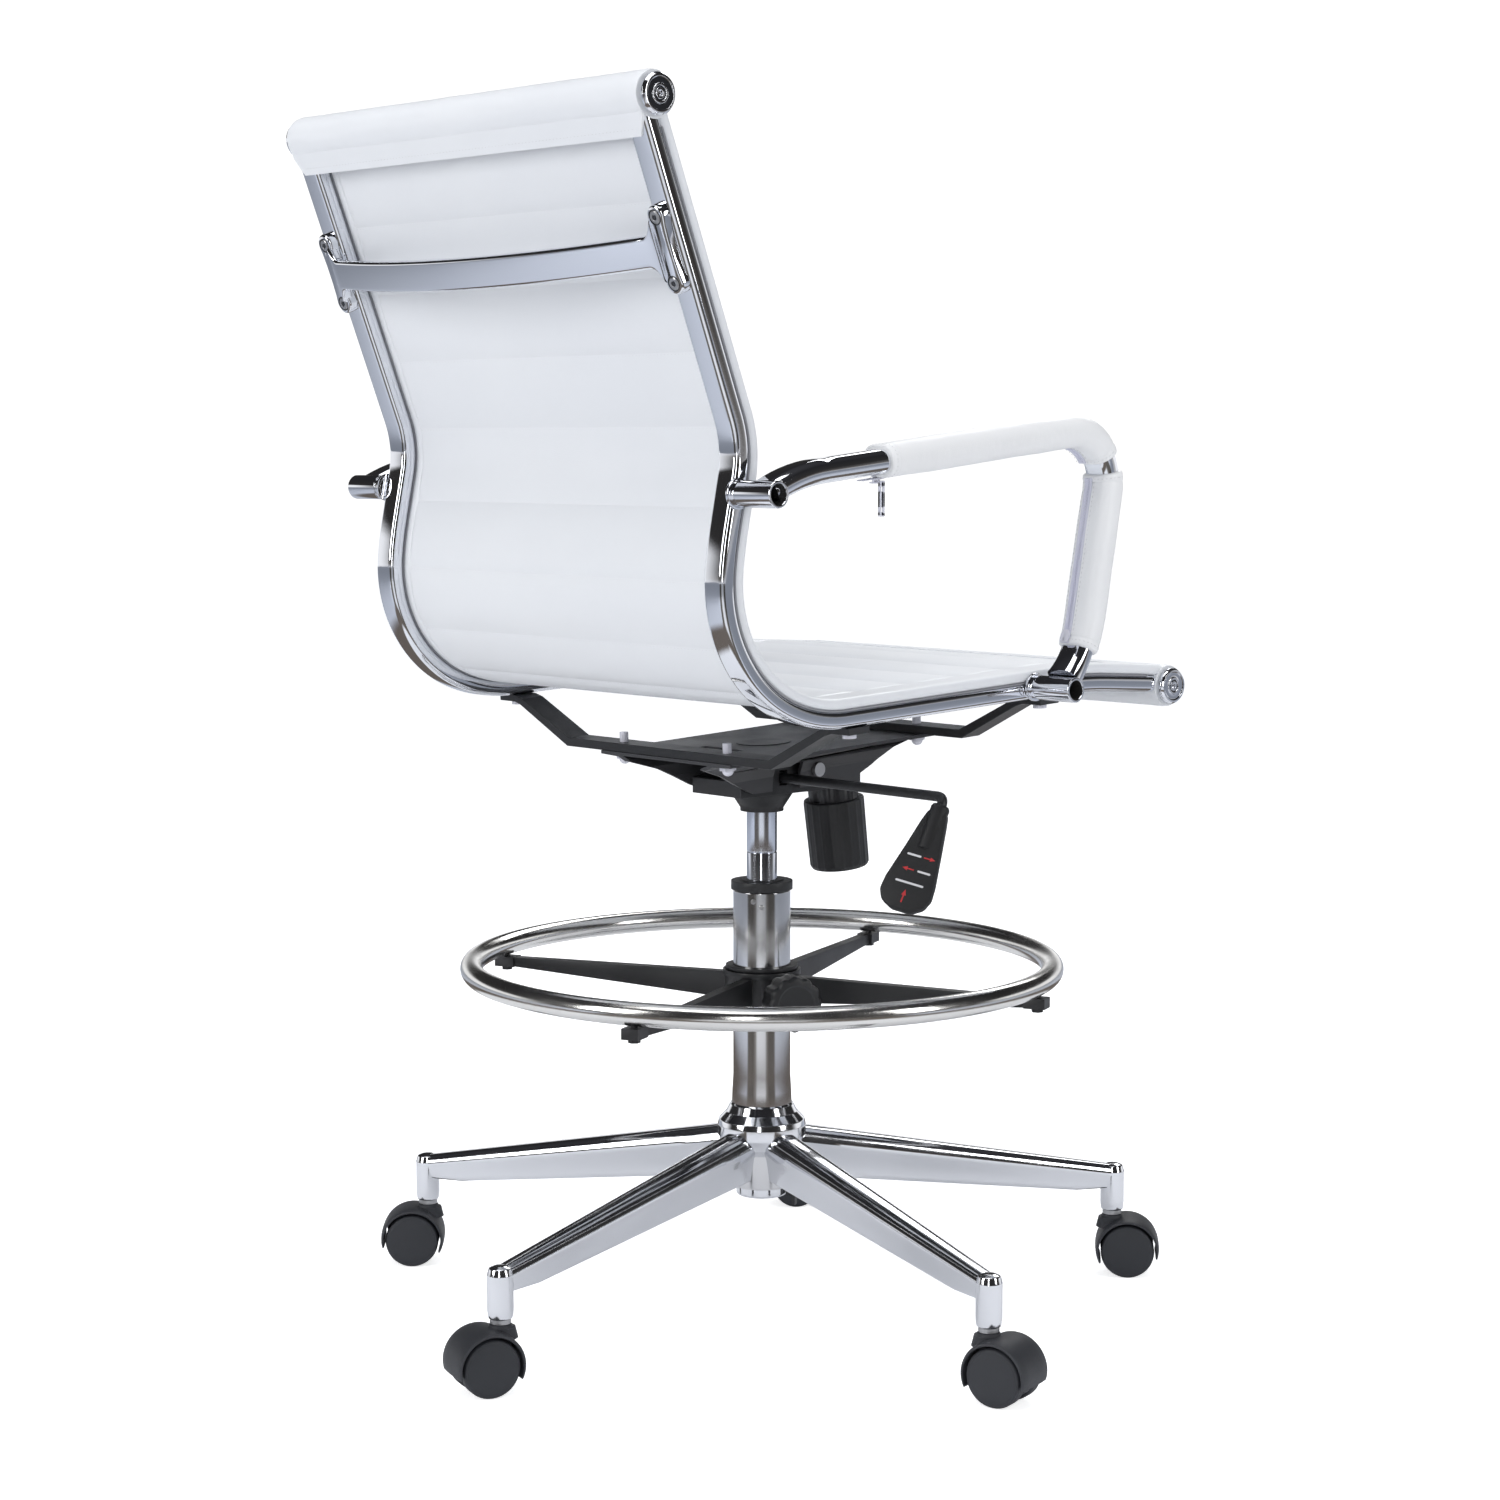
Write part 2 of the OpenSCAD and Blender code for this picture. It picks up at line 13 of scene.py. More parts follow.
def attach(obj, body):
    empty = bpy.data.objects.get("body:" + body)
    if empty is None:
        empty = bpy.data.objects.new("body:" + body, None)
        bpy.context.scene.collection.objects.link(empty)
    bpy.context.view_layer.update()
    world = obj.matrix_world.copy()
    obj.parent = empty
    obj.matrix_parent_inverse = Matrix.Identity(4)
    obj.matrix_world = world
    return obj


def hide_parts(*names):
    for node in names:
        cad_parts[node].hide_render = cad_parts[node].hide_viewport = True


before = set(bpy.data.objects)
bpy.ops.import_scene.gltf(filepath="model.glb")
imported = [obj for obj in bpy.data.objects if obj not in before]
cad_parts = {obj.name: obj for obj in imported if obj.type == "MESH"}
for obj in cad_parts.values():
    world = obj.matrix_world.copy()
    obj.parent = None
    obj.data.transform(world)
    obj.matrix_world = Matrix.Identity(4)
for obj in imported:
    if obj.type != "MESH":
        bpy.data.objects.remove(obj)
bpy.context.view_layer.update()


def move(x, y, z):
    return Matrix.Translation((x, y, z))


def rot(degrees, axis):
    return Matrix.Rotation(math.radians(degrees), 4, axis)


MM = Matrix.Scale(0.001, 4)
SEAT = MM @ rot(180, "Z")  # drawn facing +Y, placed facing -Y


# ---------------------------------------------------------------- shader nodes
FACTOR, FIRST, SECOND, MIXED = 0, 6, 7, 2  # the sockets of a colour mix, by number


def shade(tree, kind, *values, **settings):
    """A shader node with its settings and with (socket, value) pairs on its inputs."""
    made = tree.nodes.new("ShaderNode" + kind)
    for name, value in settings.items():
        setattr(made, name, value)
    for socket, value in values:
        made.inputs[socket].default_value = value
    return made


def plain(tree, *kinds):
    return [shade(tree, kind) for kind in kinds]


def wire(tree, *links):
    """Joins (node, output) to (node, input)."""
    for source, out, target, into in links:
        tree.links.new(source.outputs[out], target.inputs[into])


def fade(tree, low, high, interpolation="SMOOTHSTEP"):
    """0 at low and 1 at high."""
    return shade(tree, "MapRange", ("From Min", low), ("From Max", high), interpolation_type=interpolation)


def colour_mix(tree, first=None, second=None):
    values = [(socket, (*tone, 1)) for socket, tone in ((FIRST, first), (SECOND, second)) if tone]
    return shade(tree, "Mix", *values, data_type="RGBA")


def ramp(tree, first, last, between):
    """A colour ramp from first to last, with (position, colour) stops between."""
    made = shade(tree, "ValToRGB")
    for stop, position, colour in zip(made.color_ramp.elements, (0.0, 1.0), (first, last)):
        stop.position, stop.color = position, (*colour, 1)
    for position, colour in between:
        made.color_ramp.elements.new(position).color = (*colour, 1)
    return made


# ---------------------------------------------------------------- camera and studio
def set_camera():
    """A long lens behind the chair's right side, a little above the seat."""
    lens = bpy.data.cameras.new("camera")
    lens.lens, lens.sensor_width = 71.0, 36.0
    camera = bpy.data.objects.new("camera", lens)
    bpy.context.scene.collection.objects.link(camera)
    camera.location = (-1.9843, 1.8376, 0.7966)
    heading, pitch = math.radians(317.43), math.radians(-5.91)
    aim = Vector((math.cos(heading) * math.cos(pitch), math.sin(heading) * math.cos(pitch), math.sin(pitch)))
    camera.rotation_euler = aim.to_track_quat("-Z", "Y").to_euler()
    bpy.context.scene.camera = camera


def set_surroundings():
    """Mirrored rays see a dark room with a low white backdrop, soft ones an even fill, the camera white."""
    world = bpy.data.worlds.new("studio")
    bpy.context.scene.world = world
    world.use_nodes = True
    tree = world.node_tree
    tree.nodes.clear()
    place, split = plain(tree, "TexCoord", "SeparateXYZ")
    # the backdrop fades away from its middle and above its low edge
    side = shade(tree, "VectorMath", (1, (0.736, -0.677, 0.0)), operation="DOT_PRODUCT")
    wide, low = fade(tree, -0.10, 0.30), fade(tree, 0.20, 0.13)
    paper = shade(tree, "Math", operation="MULTIPLY")
    # the room by height: 0 straight down, 0.5 the horizon, 1 straight up
    height = shade(tree, "Math", (1, 0.5), (2, 0.5), operation="MULTIPLY_ADD")
    room = ramp(tree, (0.85, 0.86, 0.90), (0.05, 0.05, 0.055), (
        (0.48, (0.62, 0.63, 0.67)), (0.50, (0.16, 0.15, 0.14)), (0.53, (0.035, 0.032, 0.030)),
        (0.62, (0.028, 0.027, 0.027)), (0.84, (0.02, 0.02, 0.022))))
    seen = colour_mix(tree, second=(0.98, 0.985, 1.0))
    mirrored, fill, white = (
        shade(tree, "Background", ("Color", (*colour, 1)), ("Strength", strength))
        for colour, strength in (((1, 1, 1), 1.0), ((0.925, 0.955, 1.0), 0.41), ((1, 1, 1), 1.1)))
    path, soft, direct, out = plain(tree, "LightPath", "MixShader", "MixShader", "OutputWorld")
    wire(tree, (place, "Generated", split, 0), (place, "Generated", side, 0), (side, "Value", wide, "Value"),
         (split, "Z", low, "Value"), (wide, "Result", paper, 0), (low, "Result", paper, 1),
         (split, "Z", height, 0), (height, 0, room, "Fac"),
         (paper, 0, seen, FACTOR), (room, "Color", seen, FIRST), (seen, MIXED, mirrored, "Color"),
         (path, "Is Diffuse Ray", soft, 0), (mirrored, 0, soft, 1), (fill, 0, soft, 2),
         (path, "Is Camera Ray", direct, 0), (soft, 0, direct, 1), (white, 0, direct, 2),
         (direct, 0, out, "Surface"))


def set_lamps():
    """Soft boxes at both sides, overhead and behind the camera."""
    for name, angle, reach, height, size, power in (
            ("left_box", 78, 3.3, 1.75, (1.1, 1.9), 38), ("right_box", 196, 3.3, 1.7, (0.8, 1.9), 27),
            ("strip_box", 131, 4.2, 1.5, (0.42, 1.9), 17), ("top_box", 100, 0.5, 3.4, (2.2, 2.2), 43),
            ("far_box", 300, 3.2, 2.6, (1.6, 1.4), 26)):
        lamp = bpy.data.lights.new(name, "AREA")
        lamp.shape, lamp.size, lamp.size_y, lamp.energy = "RECTANGLE", size[0], size[1], power
        holder = bpy.data.objects.new(name, lamp)
        bpy.context.scene.collection.objects.link(holder)
        holder.location = (reach * math.cos(math.radians(angle)), reach * math.sin(math.radians(angle)), height)
        holder.rotation_euler = (Vector((0, 0, 0.6)) - holder.location).to_track_quat("-Z", "Y").to_euler()
        holder.visible_camera = False


def set_floor():
    """A white floor that the camera sees slightly overlit, so that only contact shadows are left on it."""
    size = 16.0
    floor = bpy.data.meshes.new("studio_floor")
    floor.from_pydata([(-size, -size, 0), (size, -size, 0), (size, size, 0), (-size, size, 0)], [], [(0, 1, 2, 3)])
    ground = bpy.data.objects.new("studio_floor", floor)
    bpy.context.scene.collection.objects.link(ground)
    paint = bpy.data.materials.new("studio_white")
    paint.use_nodes = True
    tree = paint.node_tree
    shader, out = tree.nodes["Principled BSDF"], tree.nodes["Material Output"]
    for socket, value in (("Base Color", (0.90, 0.905, 0.92, 1)), ("Roughness", 0.95), ("Specular IOR Level", 0.05)):
        shader.inputs[socket].default_value = value
    glow = shade(tree, "Emission", ("Color", (0.70, 0.70, 0.70, 1)))
    # mirrored rays find paper near the chair, then a dim brown belt, then lanes that go by direction:
    # paper on the far side, a dark room floor on the near side and one lit lane straight behind the camera
    place, path = plain(tree, "TexCoord", "LightPath")
    reach = shade(tree, "VectorMath", operation="LENGTH")
    ahead = shade(tree, "VectorMath", (1, (-0.70, 0.714, 0.0)), operation="DOT_PRODUCT")
    bearing = shade(tree, "Math", operation="DIVIDE")
    lane = ramp(tree, (0.60, 0.63, 0.70), (0.86, 0.87, 0.89), (
        (0.52, (0.60, 0.63, 0.70)), (0.60, (0.13, 0.12, 0.11)), (0.86, (0.12, 0.11, 0.10)),
        (0.93, (0.30, 0.285, 0.27)), (0.965, (0.84, 0.85, 0.87))))
    far, belt = fade(tree, 1.30, 1.62), colour_mix(tree, first=(0.15, 0.128, 0.112))
    near, lit = fade(tree, 0.94, 0.80), colour_mix(tree, second=(0.86, 0.87, 0.90))
    room, both, choose, seen = plain(tree, "BsdfDiffuse", "AddShader", "MixShader", "MixShader")
    wire(tree, (place, "Object", reach, 0), (place, "Object", ahead, 0), (ahead, "Value", bearing, 0),
         (reach, "Value", bearing, 1), (bearing, 0, lane, "Fac"),
         (reach, "Value", far, "Value"), (far, "Result", belt, FACTOR), (lane, "Color", belt, SECOND),
         (reach, "Value", near, "Value"), (near, "Result", lit, FACTOR), (belt, MIXED, lit, FIRST),
         (lit, MIXED, room, "Color"), (shader, 0, both, 0), (glow, 0, both, 1),
         (path, "Is Glossy Ray", choose, 0), (shader, 0, choose, 1), (room, 0, choose, 2),
         (path, "Is Camera Ray", seen, 0), (choose, 0, seen, 1), (both, 0, seen, 2), (seen, 0, out, "Surface"))
    floor.materials.append(paint)


set_camera()
bpy.context.scene.view_settings.view_transform = "Standard"
set_surroundings()
set_lamps()
set_floor()


# ---------------------------------------------------------------- shared effects
def effect(name, inputs, outputs):
    """An empty shader group with those sockets, and its two ends."""
    group = bpy.data.node_groups.new(name, "ShaderNodeTree")
    for label, value in inputs.items():
        kind = "NodeSocketFloat" if isinstance(value, float) else "NodeSocketColor"
        group.interface.new_socket(name=label, in_out="INPUT", socket_type=kind).default_value = value
    for label, kind in outputs.items():
        group.interface.new_socket(name=label, in_out="OUTPUT", socket_type="NodeSocket" + kind)
    return group, group.nodes.new("NodeGroupInput"), group.nodes.new("NodeGroupOutput")


def fine_grain():
    """Small bumps of moulded plastic or baked paint."""
    group, start, end = effect("fine_grain", {"Pitch": 1500.0, "Depth": 0.1}, {"Normal": "Vector", "Speck": "Float"})
    place, grit = shade(group, "TexCoord"), shade(group, "TexNoise", ("Detail", 2.0))
    bump = shade(group, "Bump", ("Distance", 0.0006))
    wire(group, (place, "Object", grit, "Vector"), (start, "Pitch", grit, "Scale"), (grit, "Fac", bump, "Height"),
         (start, "Depth", bump, "Strength"), (bump, "Normal", end, "Normal"), (grit, "Fac", end, "Speck"))
    return group


def handling_marks():
    """Cloudy smears that change how sharply a surface mirrors."""
    group, start, end = effect(
        "handling_marks", {"Pitch": 12.0, "Low": 0.1, "High": 0.2}, {"Roughness": "Float", "Mask": "Float"})
    place, cloud = shade(group, "TexCoord"), shade(group, "TexNoise", ("Detail", 5.0), ("Roughness", 0.62))
    span = fade(group, 0.36, 0.66, "LINEAR")
    wire(group, (place, "Object", cloud, "Vector"), (start, "Pitch", cloud, "Scale"), (cloud, "Fac", span, "Value"),
         (start, "Low", span, "To Min"), (start, "High", span, "To Max"),
         (span, "Result", end, "Roughness"), (cloud, "Fac", end, "Mask"))
    return group


def tone_drift():
    """A colour that wanders a little towards a second one, and turns to a third on convex edges as a painted highlight.
    """
    white = (1, 1, 1, 1)
    # the third colour and its amount paint a highlight on convex edges
    group, start, end = effect(
        "tone_drift", {"Colour": white, "Shade": white, "Edge Highlight": white, "Pitch": 6.0, "Highlight Amount": 0.0},
        {"Colour": "Color", "Edge": "Float"})
    place, cloud = shade(group, "TexCoord"), shade(group, "TexNoise", ("Detail", 3.0))
    span, edge = fade(group, 0.35, 0.68, "LINEAR"), fade(group, 0.54, 0.64, "LINEAR")
    drift, rim = colour_mix(group), colour_mix(group)
    form, amount = shade(group, "NewGeometry"), shade(group, "Math", operation="MULTIPLY")
    wire(group, (place, "Object", cloud, "Vector"), (start, "Pitch", cloud, "Scale"), (cloud, "Fac", span, "Value"),
         (span, "Result", drift, FACTOR), (start, "Colour", drift, FIRST), (start, "Shade", drift, SECOND),
         (form, "Pointiness", edge, "Value"), (edge, "Result", amount, 0), (start, "Highlight Amount", amount, 1),
         (amount, 0, rim, FACTOR), (drift, MIXED, rim, FIRST), (start, "Edge Highlight", rim, SECOND),
         (rim, MIXED, end, "Colour"), (amount, 0, end, "Edge"))
    return group


def hide_grain():
    """Pebbled leatherette cells under broad soft creases."""
    group, start, end = effect(
        "hide_grain", {"Pitch": 900.0, "Depth": 0.2, "Crease": 0.2}, {"Normal": "Vector", "Pore": "Float"})
    place, cells = shade(group, "TexCoord"), shade(group, "TexVoronoi", feature="SMOOTH_F1")
    folds = shade(group, "TexNoise", ("Scale", 26.0), ("Detail", 3.0))
    low, high = shade(group, "Bump", ("Distance", 0.004)), shade(group, "Bump", ("Distance", 0.0005))
    wire(group, (place, "Object", cells, "Vector"), (place, "Object", folds, "Vector"),
         (start, "Pitch", cells, "Scale"), (folds, "Fac", low, "Height"), (start, "Crease", low, "Strength"),
         (cells, "Distance", high, "Height"), (start, "Depth", high, "Strength"), (low, "Normal", high, "Normal"),
         (high, "Normal", end, "Normal"), (cells, "Distance", end, "Pore"))
    return group


GRAIN, MARKS, DRIFT, HIDE = fine_grain(), handling_marks(), tone_drift(), hide_grain()


def finish(name, colour, shade_to, worn=None, wear=0.0, drift=6.0, metallic=0.0, rough=(0.2, 0.3), smear=12.0,
           grain=None, hide=None):
    """A material: colour that drifts to shade_to with a painted highlight on convex edges, smeared gloss, and a grain
    or hide relief.
    """
    made = bpy.data.materials.new(name)
    made.use_nodes = True
    tree = made.node_tree
    shader = tree.nodes["Principled BSDF"]
    shader.inputs["Metallic"].default_value = metallic

    def drive(socket, group, out, values):
        node = shade(tree, "Group", node_tree=group)
        for label, value in values.items():
            node.inputs[label].default_value = value
        wire(tree, (node, out, shader, socket))

    drive("Base Color", DRIFT, "Colour", {
        "Colour": (*colour, 1), "Shade": (*shade_to, 1), "Edge Highlight": (*(worn or colour), 1), "Pitch": drift, "Highlight Amount": wear})
    drive("Roughness", MARKS, "Roughness", {"Pitch": smear, "Low": rough[0], "High": rough[1]})
    if grain:
        drive("Normal", GRAIN, "Normal", {"Pitch": grain[0], "Depth": grain[1]})
    if hide:
        drive("Normal", HIDE, "Normal", {"Pitch": hide[0], "Depth": hide[1], "Crease": hide[2]})
    return made


def brushed(material, axis_scale, depth):
    """Adds fine drawn lines along one direction to a metal."""
    tree = material.node_tree
    place, stretch = shade(tree, "TexCoord"), shade(tree, "Mapping", ("Scale", axis_scale))
    lines = shade(tree, "TexNoise", ("Scale", 40.0), ("Detail", 4.0))
    bump = shade(tree, "Bump", ("Strength", depth), ("Distance", 0.0004))
    wire(tree, (place, "Object", stretch, "Vector"), (stretch, "Vector", lines, "Vector"),
         (lines, "Fac", bump, "Height"), (bump, "Normal", tree.nodes["Principled BSDF"], "Normal"))
    return material


def polished(name, colour, shade_to, **look):
    return finish(name, colour, shade_to, metallic=1.0, **look)


# where a finish gives a third colour and an amount, that colour is a painted highlight on its convex edges
CHROME = polished("bright_chrome", (0.83, 0.845, 0.88), (0.80, 0.815, 0.86), rough=(0.035, 0.085), smear=9.0,
                  grain=(420.0, 0.012))
CAST_CHROME = polished("polished_casting", (0.83, 0.84, 0.87), (0.79, 0.80, 0.83), rough=(0.07, 0.15), smear=14.0,
                       grain=(160.0, 0.05))
RING_CHROME = brushed(polished(
    "warm_ring_chrome", (0.82, 0.81, 0.79), (0.76, 0.75, 0.73), rough=(0.13, 0.24), smear=16.0), (1, 1, 14), 0.05)
COLUMN_CHROME = brushed(polished(
    "drawn_column_chrome", (0.72, 0.72, 0.73), (0.68, 0.68, 0.69), rough=(0.09, 0.17), smear=10.0), (9, 9, 0.5), 0.05)
PISTON_CHROME = polished("ground_piston_chrome", (0.72, 0.75, 0.82), (0.68, 0.71, 0.79), rough=(0.10, 0.18),
                         grain=(600.0, 0.02))
STEEL = polished("plain_steel", (0.50, 0.50, 0.51), (0.42, 0.42, 0.43), worn=(0.62, 0.62, 0.62), wear=0.5,
                 rough=(0.25, 0.42), grain=(900.0, 0.08))
ZINC = finish("plated_zinc", (0.80, 0.80, 0.87), (0.72, 0.72, 0.80), metallic=0.25, rough=(0.34, 0.46), smear=60.0,
              grain=(1400.0, 0.06))
BLACK_PAINT = finish("black_baked_paint", (0.012, 0.0125, 0.014), (0.018, 0.0185, 0.020), (0.07, 0.07, 0.075), 0.5,
                     rough=(0.32, 0.46), grain=(1100.0, 0.16))
BLACK_PLASTIC = finish("black_moulded_plastic", (0.014, 0.0145, 0.016), (0.020, 0.021, 0.023), (0.05, 0.05, 0.055),
                       0.5, rough=(0.38, 0.52), grain=(1600.0, 0.2))
CASTOR_PLASTIC = finish("dark_grey_castor_plastic", (0.024, 0.026, 0.032), (0.032, 0.034, 0.041),
                        (0.075, 0.078, 0.088), 0.55, rough=(0.46, 0.60), grain=(1500.0, 0.22))
HIDE_WHITE = finish("white_leatherette", (0.795, 0.812, 0.84), (0.768, 0.786, 0.82), (0.83, 0.84, 0.855), 0.4,
                    drift=4.0, rough=(0.34, 0.46), smear=7.0, hide=(1150.0, 0.16, 0.10))
SLEEVE_WHITE = finish("white_sleeve_leatherette", (0.865, 0.87, 0.88), (0.84, 0.845, 0.858), (0.88, 0.885, 0.89), 0.4,
                      drift=9.0, rough=(0.36, 0.5), smear=9.0, hide=(1150.0, 0.2, 0.35))
THREAD = finish("white_thread", (0.70, 0.705, 0.72), (0.62, 0.625, 0.64), rough=(0.6, 0.8), grain=(3500.0, 0.5))
# painted shade for the grooves at the rails and at the border seams
SEAM_SHADE = finish("painted_groove_shade", (0.30, 0.305, 0.33), (0.24, 0.245, 0.27), rough=(0.6, 0.8),
                    grain=(2200.0, 0.4))
ZIP_TAPE = finish("pale_zip_tape", (0.71, 0.715, 0.81), (0.66, 0.665, 0.77), rough=(0.7, 0.85), grain=(2600.0, 0.5))
ZIP_TEETH = finish("nylon_zip_teeth", (0.74, 0.74, 0.86), (0.66, 0.66, 0.80), rough=(0.35, 0.5), grain=(2000.0, 0.1))
PRINT_RED = finish("red_pad_print", (0.52, 0.02, 0.025), (0.44, 0.018, 0.022), rough=(0.4, 0.5), grain=(1500.0, 0.2))
PRINT_WHITE = finish("white_pad_print", (0.68, 0.68, 0.70), (0.58, 0.58, 0.60), rough=(0.4, 0.5),
                     grain=(1500.0, 0.2))
PADDLE_BLACK = finish("black_paddle_plastic", (0.0075, 0.008, 0.0095), (0.011, 0.0115, 0.013), (0.03, 0.03, 0.034),
                      0.4, rough=(0.46, 0.58), grain=(1600.0, 0.15))
# painted dark: reflection on the top caps' faces, and shade round and in the brace screws
PAINTED_DARK = finish("painted_dark_reflection_and_shade", (0.014, 0.015, 0.018), (0.022, 0.023, 0.026), rough=(0.10, 0.18),
                    grain=(700.0, 0.02))
# painted shade for the inside of the open stub tubes
BORE_SHADE = finish("painted_bore_shade", (0.010, 0.010, 0.011), (0.025, 0.024, 0.023), rough=(0.6, 0.8),
                    grain=(500.0, 0.3))


# ---------------------------------------------------------------- shapes: (points, faces) in millimetres
def moved(shape, matrix):
    return [matrix @ Vector(p) for p in shape[0]], shape[1]


def joined(*shapes):
    points, faces = [], []
    for more_points, more_faces in shapes:
        base = len(points)
        points += [Vector(p) for p in more_points]
        faces += [[base + i for i in face] for face in more_faces]
    return points, faces


def filleted(outline, radius, steps=4, closed=False):
    """The same outline with every corner rounded."""
    out, count = [], len(outline)
    for i, corner in enumerate(outline):
        if not closed and i in (0, count - 1):
            out.append(tuple(corner))
            continue
        point = Vector(corner)
        back, ahead = Vector(outline[i - 1]) - point, Vector(outline[(i + 1) % count]) - point
        if back.length < 1e-6 or ahead.length < 1e-6:
            continue
        turn = back.angle(ahead)
        if turn > math.radians(174):
            out.append(tuple(corner))
            continue
        cut = min(radius / math.tan(turn / 2), 0.45 * back.length, 0.45 * ahead.length)
        start, end = point + back.normalized() * cut, point + ahead.normalized() * cut
        for t in (k / steps for k in range(steps + 1)):
            out.append(tuple(start.lerp(point, t).lerp(point.lerp(end, t), t)))
    return out


def turns(steps):
    """Angles once round."""
    return [math.tau * i / steps for i in range(steps)]


def lathe(profile, steps=72):
    """A turned shape about Z from (radius, height) points; a radius of 0 closes it with a point."""
    points, rings, faces = [], [], []
    for radius, height in profile:
        if radius < 1e-6:
            rings.append([len(points)] * steps)
            points.append((0, 0, height))
        else:
            rings.append([len(points) + i for i in range(steps)])
            points += [(radius * math.cos(a), radius * math.sin(a), height) for a in turns(steps)]
    for low, high in zip(rings, rings[1:]):
        for i in range(steps):
            j, face = (i + 1) % steps, []
            for corner in (low[i], low[j], high[j], high[i]):
                if corner not in face:
                    face.append(corner)
            if len(face) > 2:
                faces.append(face)
    return points, faces


def skinned(rings, capped=True, looped=False):
    """Rings of points joined into one skin."""
    count, points, faces = len(rings[0]), [p for ring in rings for p in ring], []
    pairs = list(zip(range(len(rings)), range(1, len(rings)))) + ([(len(rings) - 1, 0)] if looped else [])
    for a, b in pairs:
        for j in range(count):
            k = (j + 1) % count
            faces.append([a * count + j, a * count + k, b * count + k, b * count + j])
    if capped and not looped:
        faces += [list(range(count))[::-1], [(len(rings) - 1) * count + j for j in range(count)]]
    return points, faces


def rounded_bar(width, depth, radius, steps=6, shift=0.0):
    """A bar's section: width along X, depth across, corners rounded."""
    out, wide, deep = [], width / 2 - radius, depth / 2 - radius
    for quarter, (sx, sy) in enumerate(((1, 1), (-1, 1), (-1, -1), (1, -1))):
        for k in range(steps + 1):
            turn = math.radians(90 * quarter + 90 * k / steps)
            out.append((sx * wide + radius * math.cos(turn), shift + sy * deep + radius * math.sin(turn)))
    return out


def tube(path, radius, steps=16, capped=True):
    """A round tube along points in space; radius may be one number or one for each point."""
    path = [Vector(p) for p in path]
    radii = radius if hasattr(radius, "__len__") else [radius] * len(path)
    side, rings = None, []
    for i, point in enumerate(path):
        ahead = (path[min(i + 1, len(path) - 1)] - path[max(i - 1, 0)]).normalized()
        if side is None:
            side = ahead.orthogonal().normalized()
        side = (side - ahead * side.dot(ahead)).normalized()
        over = ahead.cross(side)
        rings.append([point + (side * math.cos(a) + over * math.sin(a)) * radii[i] for a in turns(steps)])
    return skinned(rings, capped)


def prism(outline, height, base=0.0):
    """A flat outline (x, y) drawn up along Z."""
    count = len(outline)
    points = [(x, y, z) for z in (base, base + height) for x, y in outline]
    return points, [list(range(count))[::-1], [count + i for i in range(count)]] + [
        [i, (i + 1) % count, count + (i + 1) % count, count + i] for i in range(count)]


def block(low, high):
    return prism([(low[0], low[1]), (high[0], low[1]), (high[0], high[1]), (low[0], high[1])], high[2] - low[2], low[2])


def stitched(path, outward, length=3.4, gap=1.5, thick=0.42):
    """Thread stitches along a path: short spindles half sunk in the surface."""
    path = [Vector(p) for p in path]
    points, faces, spent, nexts = [], [], 0.0, 0.0
    for i in range(len(path) - 1):
        span = (path[i + 1] - path[i]).length
        if span < 1e-6:
            continue
        ahead = (path[i + 1] - path[i]) / span
        out = Vector(outward[i]).normalized()
        side = ahead.cross(out)
        while nexts <= spent + span:
            spot, base = path[i] + ahead * (nexts - spent), len(points)
            points += [spot - ahead * length / 2 - out * 0.15, spot + side * thick, spot + out * thick * 1.1,
                       spot - side * thick, spot - out * 0.5, spot + ahead * length / 2 - out * 0.15]
            faces += [[base, base + 1 + (k + 1) % 4, base + 1 + k] for k in range(4)]
            faces += [[base + 5, base + 1 + k, base + 1 + (k + 1) % 4] for k in range(4)]
            nexts += length + gap
        spent += span
    return points, faces


def break_edges(item, width, segments, angle):
    """Bevels an object's edges by a width in millimetres."""
    edges = item.modifiers.new("edges", "BEVEL")
    edges.width, edges.segments = width * 0.001, segments
    edges.limit_method, edges.angle_limit = "ANGLE", math.radians(angle)
    edges.harden_normals = True


def piece(name, shape, material, body, stands_for=(), place=SEAT, crisp=38, bevel=0.0):
    """A named object of the chair from a shape, with its finish, on its body."""
    mesh = bpy.data.meshes.new(name)
    mesh.from_pydata([place @ Vector(p) for p in shape[0]], [], shape[1])
    work = bmesh.new()
    work.from_mesh(mesh)
    bmesh.ops.recalc_face_normals(work, faces=work.faces)
    work.to_mesh(mesh)
    work.free()
    mesh.shade_smooth()
    mesh.set_sharp_from_angle(angle=math.radians(crisp))
    mesh.materials.append(material)
    made = bpy.data.objects.new(name, mesh)
    bpy.context.scene.collection.objects.link(made)
    if bevel:
        break_edges(made, bevel, 3, 32)
    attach(made, body)
    if stands_for:
        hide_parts(*stands_for)
    return made


def dress(names, material, bevel=0.0):
    """A CAD node keeps its shape and takes a finish, with its edges broken where that shows."""
    for name in names:
        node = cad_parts[name]
        node.data.materials.clear()
        node.data.materials.append(material)
        if bevel:
            weld = node.modifiers.new("weld", "WELD")
            weld.merge_threshold = 0.00001  # metres
            break_edges(node, bevel, 2, 35)


